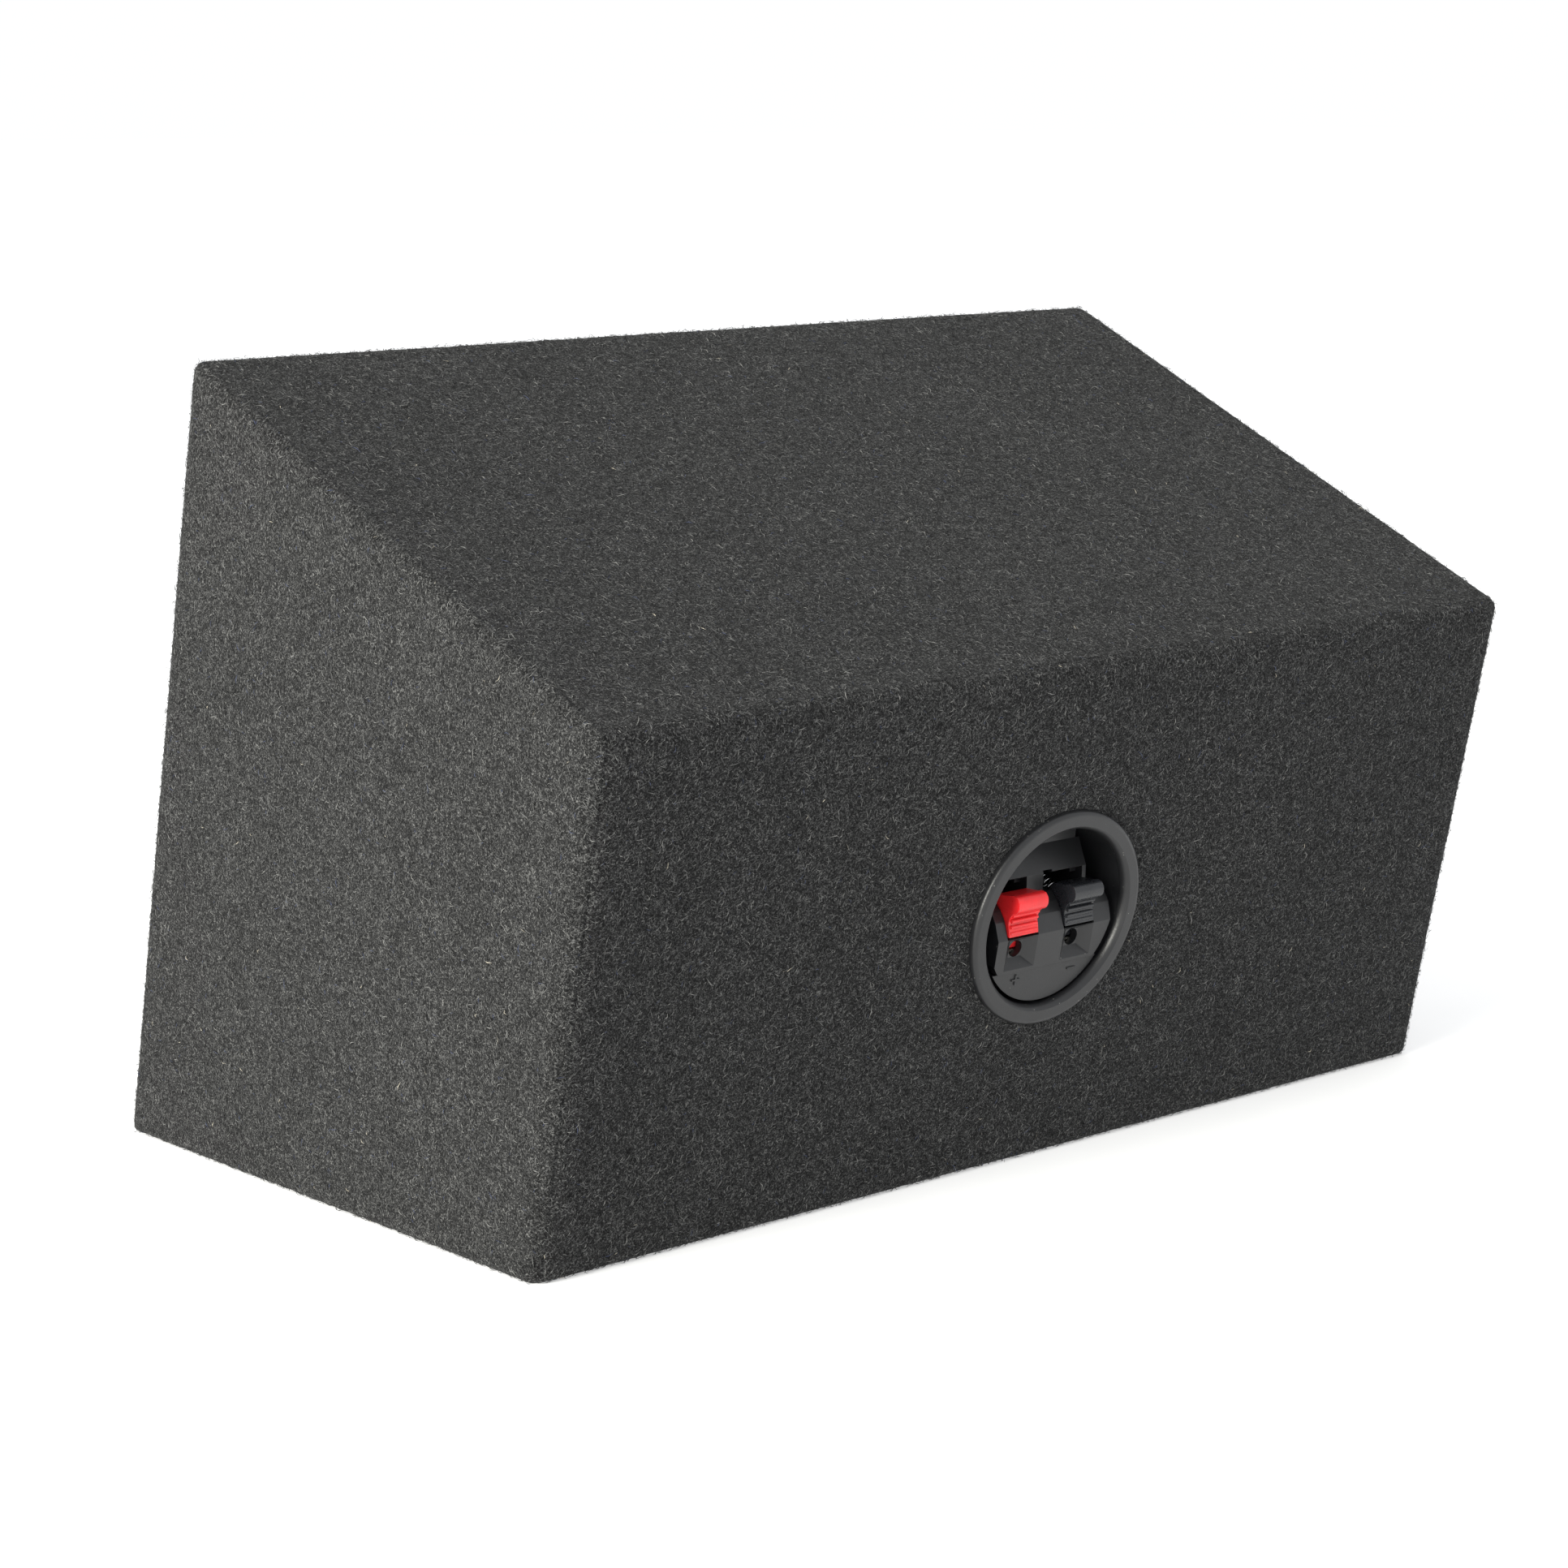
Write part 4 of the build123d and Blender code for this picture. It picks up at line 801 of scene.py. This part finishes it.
def lever_spring(sign, colour):
    """Coil spring between a lever's back and the cup's floor, its end turns drawn together."""
    shift = CUP + Vector((sign * LEVER_PITCH / 2, 0, 0))
    axis = (SPRING_END - SPRING_START).normalized()
    start = SPRING_START - axis * SPRING_SEATED
    length = (SPRING_END - start).length - SPRING_SHORT
    side = Vector((1, 0, 0))
    other = axis.cross(side)
    path = []
    steps = SPRING_TURNS * STEPS_PER_TURN
    for k in range(steps + 1):
        t = k / steps
        rise = t - 0.06 * sin(4 * pi * t) / (2 * pi) - 0.05 * sin(2 * pi * t) / pi
        angle = 2 * pi * SPRING_TURNS * t
        point = start + axis * (length * rise) + (side * cos(angle) + other * sin(angle)) * SPRING_R
        path.append(point + shift)
    points, faces = tube(in_row(path), SPRING_WIRE_R, 10)
    piece = new_piece("coil_spring_" + colour, points, faces)
    piece.data.materials.append(bpy.data.materials["spring_wire"])
    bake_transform(piece)
    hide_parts("lever_spring_" + colour)


def blend_by_radius(piece):
    """Bakes the ring's placement into its mesh."""
    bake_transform(piece)


def surround():
    """Half-roll rubber surround with a glued foot on the cone and a flat land on the frame."""
    inner_foot = CONE_R - 0.002
    roll_in = CONE_R + 0.0006
    mid = (roll_in + SURROUND_OUTER) / 2
    rise = (SURROUND_OUTER - roll_in) / 2
    land = CONE_FRONT - SURROUND_T
    outer = [(inner_foot, land - 0.0002)]
    for k in range(ROLL_STEPS + 1):
        t = pi * k / ROLL_STEPS
        outer.append((mid - rise * cos(t), land - rise * sin(t)))
    outer += [(LAND_FOLD, land), (SURROUND_LAND, land)]
    under = [(SURROUND_LAND, CONE_FRONT), (LAND_FOLD, CONE_FRONT)]
    for k in range(ROLL_STEPS, -1, -1):
        t = pi * k / ROLL_STEPS
        r = rise - SURROUND_T
        under.append((mid - r * cos(t), CONE_FRONT - r * sin(t)))
    under += [(CONE_R, CONE_FRONT)]
    points, faces = lathe(outer + under, WOOFER_X)
    piece = new_piece("rolled_surround", points, faces)
    piece.data.materials.append(rubber("surround_rubber", (0.014, 0.014, 0.015), 0.5))
    blend_by_radius(piece)
    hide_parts("woofer_surround")


def spider():
    """Corrugated cloth disc that centres the coil."""
    top = []
    count = 120
    for k in range(count + 1):
        r = SPIDER_INNER + (SPIDER_OUTER - SPIDER_INNER) * k / count
        share = min(1.0, max(0.0, (r - RIPPLES_FROM) / (RIPPLES_TO - RIPPLES_FROM)))
        y = SPIDER_Y - RIPPLE_DEPTH / 2 * (1 - cos(2 * pi * RIPPLES * share))
        top.append((r, y))
    under = [(r, y + SPIDER_T) for r, y in reversed(top)]
    points, faces = lathe(top + under, WOOFER_X)
    piece = new_piece("corrugated_spider", points, faces)
    cloth = woven("spider_cloth", (0.20, 0.12, 0.04), (0.50, 0.34, 0.14), 0.0007)
    piece.data.materials.append(cloth)
    blend_by_radius(piece)
    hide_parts("woofer_spider")


def tinsel_leads():
    """Two braided leads that hang in a slack bow from the cone to the frame's terminals."""
    finish = bare_metal("tinsel_braid", (0.72, 0.50, 0.30), 0.35, size=0.0003)
    meshes = []
    for side in (-1, 1):
        x = WOOFER_X + side * TAB_X
        leaves = [(x, STRIP_FACE, TAB_Z), (x, -0.044, TAB_Z)]
        arrives = [(x, -0.050, -0.040), (x, LEAD_ON_CONE, LEAD_ON_CONE_Z)]
        knots = np.array(leaves + arrives)
        t = np.linspace(0, 1, 61)[:, None]
        bow = (
            (1 - t) ** 3 * knots[0]
            + 3 * t * (1 - t) ** 2 * knots[1]
            + 3 * t**2 * (1 - t) * knots[2]
            + t**3 * knots[3]
        )
        meshes.append(tube(in_row(bow), LEAD_R, 12))
    points = np.vstack([p for p, _ in meshes])
    count = len(meshes[0][0])
    faces = [tuple(i + k * count for i in face) for k, (_, f) in enumerate(meshes) for face in f]
    piece = new_piece("slack_tinsel_leads", points, faces)
    piece.data.materials.append(finish)
    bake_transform(piece)
    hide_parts("woofer_tinsel_leads")


def felt_pad(side, name, finish):
    """A pad of shoddy felt on the top or bottom board: soft edges and an uneven face."""
    x_half = SIDE - SKIN - CLEAT - 0.001
    front = BAFFLE_FRONT + BOARD + CLEAT + FELT_GAP
    back = REAR - SKIN - FELT_GAP
    bm = bmesh.new()
    for z in (0.0003, FELT - 0.0008):
        for x in (-x_half, x_half):
            for y in (front, back):
                bm.verts.new((x, y, side * (half_height(y, SKIN) - z)))
    bm.verts.ensure_lookup_table()
    for loop in ((0, 1, 3, 2), (4, 5, 7, 6), (0, 1, 5, 4), (2, 3, 7, 6), (0, 2, 6, 4), (1, 3, 7, 5)):
        bm.faces.new([bm.verts[k] for k in loop])
    bmesh.ops.recalc_face_normals(bm, faces=bm.faces)
    mesh = bpy.data.meshes.new(name)
    bm.to_mesh(mesh)
    bm.free()
    block = bpy.data.objects.new(name, mesh)
    bpy.context.scene.collection.objects.link(block)
    soft = block.modifiers.new("soft", "BEVEL")
    soft.width = FELT_EDGE
    soft.segments = 4
    net = block.modifiers.new("net", "REMESH")
    net.mode = "VOXEL"
    net.voxel_size = FELT_VOXEL
    mesh = baked_mesh(block)
    mesh.shade_smooth()
    for vertex in mesh.vertices:
        lumps = 0.6 * noise.noise(vertex.co * 60.0) + 0.4 * noise.noise(vertex.co * 220.0)
        vertex.co += vertex.normal * FELT_LUMPS * (lumps - 0.6)
    mesh.transform(Matrix.Translation(SHIFT) @ TIP.to_4x4())
    pad = bpy.data.objects.new(name, mesh)
    bpy.context.scene.collection.objects.link(pad)
    mesh.materials.append(finish)
    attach(pad, "cabinet")
    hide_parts("damping_" + name)


def make_felts():
    finish = felt()
    felt_pad(1, "felt_top", finish)
    felt_pad(-1, "felt_bottom", finish)


def make_springs_and_cone_parts():
    """The lever springs and the soft parts between the cone and the frame."""
    bare_metal("spring_wire", (0.80, 0.80, 0.81), 0.14)
    for sign, colour in ((1, "red"), (-1, "black")):
        lever_spring(sign, colour)
    surround()
    spider()
    tinsel_leads()


# ------------------------------------------------------------------ stage, light, camera

CAMERA_PLACE = Vector((0.6339, 0.7203, 0.2663))
CAMERA_AIM = Vector((0.0098, -0.0047, 0.0879))
CAMERA_ROLL = radians(-0.54)
LENS = 84.15
KEY_FROM = Vector((0.94, 0.12, 0.27))
KEY_DISTANCE = 2.2
KEY_SIZE = 1.3
KEY_POWER = 86.0
TOP_FROM = Vector((0.52, 0.10, 0.85))
TOP_SIZE = 0.5
TOP_POWER = 6.0


def make_stage():
    """A wide round white floor, its rings of faces spaced wider far away."""
    reach = 30.0
    rings = 24
    sides = 96
    points = [(0, 0, 0)]
    for k in range(1, rings + 1):
        r = reach * (k / rings) ** 3
        for j in range(sides):
            t = 2 * pi * j / sides
            points.append((r * cos(t), r * sin(t), 0))
    faces = [(0, 1 + j, 1 + (j + 1) % sides) for j in range(sides)]
    for k in range(rings - 1):
        for j in range(sides):
            a = 1 + k * sides + j
            b = 1 + k * sides + (j + 1) % sides
            faces.append((a, a + sides, b + sides, b))
    floor = new_piece("floor", points, faces)
    f = Finish("floor_white", Roughness=0.9, Specular_IOR_Level=0.1)
    paper_grain = f.noise(0.02, 3.0, 0.5)
    f.colour(f.ramp(paper_grain, (0.3, (0.70, 0.70, 0.70)), (0.7, (0.72, 0.72, 0.72))))
    f.shader.inputs["Emission Color"].default_value = (1, 1, 1, 1)
    f.shader.inputs["Emission Strength"].default_value = 0.42
    floor.data.materials.append(f.made)


def area_light(name, place, aim, size, power, rgb):
    data = bpy.data.lights.new(name, "AREA")
    data.shape = "DISK"
    data.size = size
    data.energy = power
    data.color = rgb
    light = bpy.data.objects.new(name, data)
    bpy.context.scene.collection.objects.link(light)
    light.location = place
    light.rotation_mode = "QUATERNION"
    light.rotation_quaternion = (Vector(aim) - Vector(place)).to_track_quat("-Z", "Y")


def make_light():
    world = bpy.data.worlds.new("studio")
    world.use_nodes = True
    world.node_tree.nodes["Background"].inputs["Color"].default_value = (1.0, 1.015, 1.03, 1)
    world.node_tree.nodes["Background"].inputs["Strength"].default_value = 1.0
    bpy.context.scene.world = world
    middle = (cad_box[0] + cad_box[1]) / 2
    place = middle + KEY_FROM.normalized() * KEY_DISTANCE
    area_light("key", place, middle, KEY_SIZE, KEY_POWER, (1.0, 0.985, 0.90))
    place = middle + TOP_FROM.normalized() * KEY_DISTANCE
    area_light("top", place, middle, TOP_SIZE, TOP_POWER, (1.0, 0.98, 0.93))


def make_camera():
    data = bpy.data.cameras.new("camera")
    data.lens = LENS
    data.sensor_width = 36.0
    data.clip_start = 0.01
    data.clip_end = 100.0
    camera = bpy.data.objects.new("camera", data)
    bpy.context.scene.collection.objects.link(camera)
    camera.location = CAMERA_PLACE
    camera.rotation_mode = "QUATERNION"
    look = (CAMERA_AIM - CAMERA_PLACE).to_track_quat("-Z", "Y")
    camera.rotation_quaternion = look @ Matrix.Rotation(CAMERA_ROLL, 3, "Z").to_quaternion()
    bpy.context.scene.camera = camera


make_camera()
make_stage()
make_light()
dress_frame()
make_carpet()
make_springs_and_cone_parts()
make_felts()
bpy.context.scene.view_settings.view_transform = "Standard"
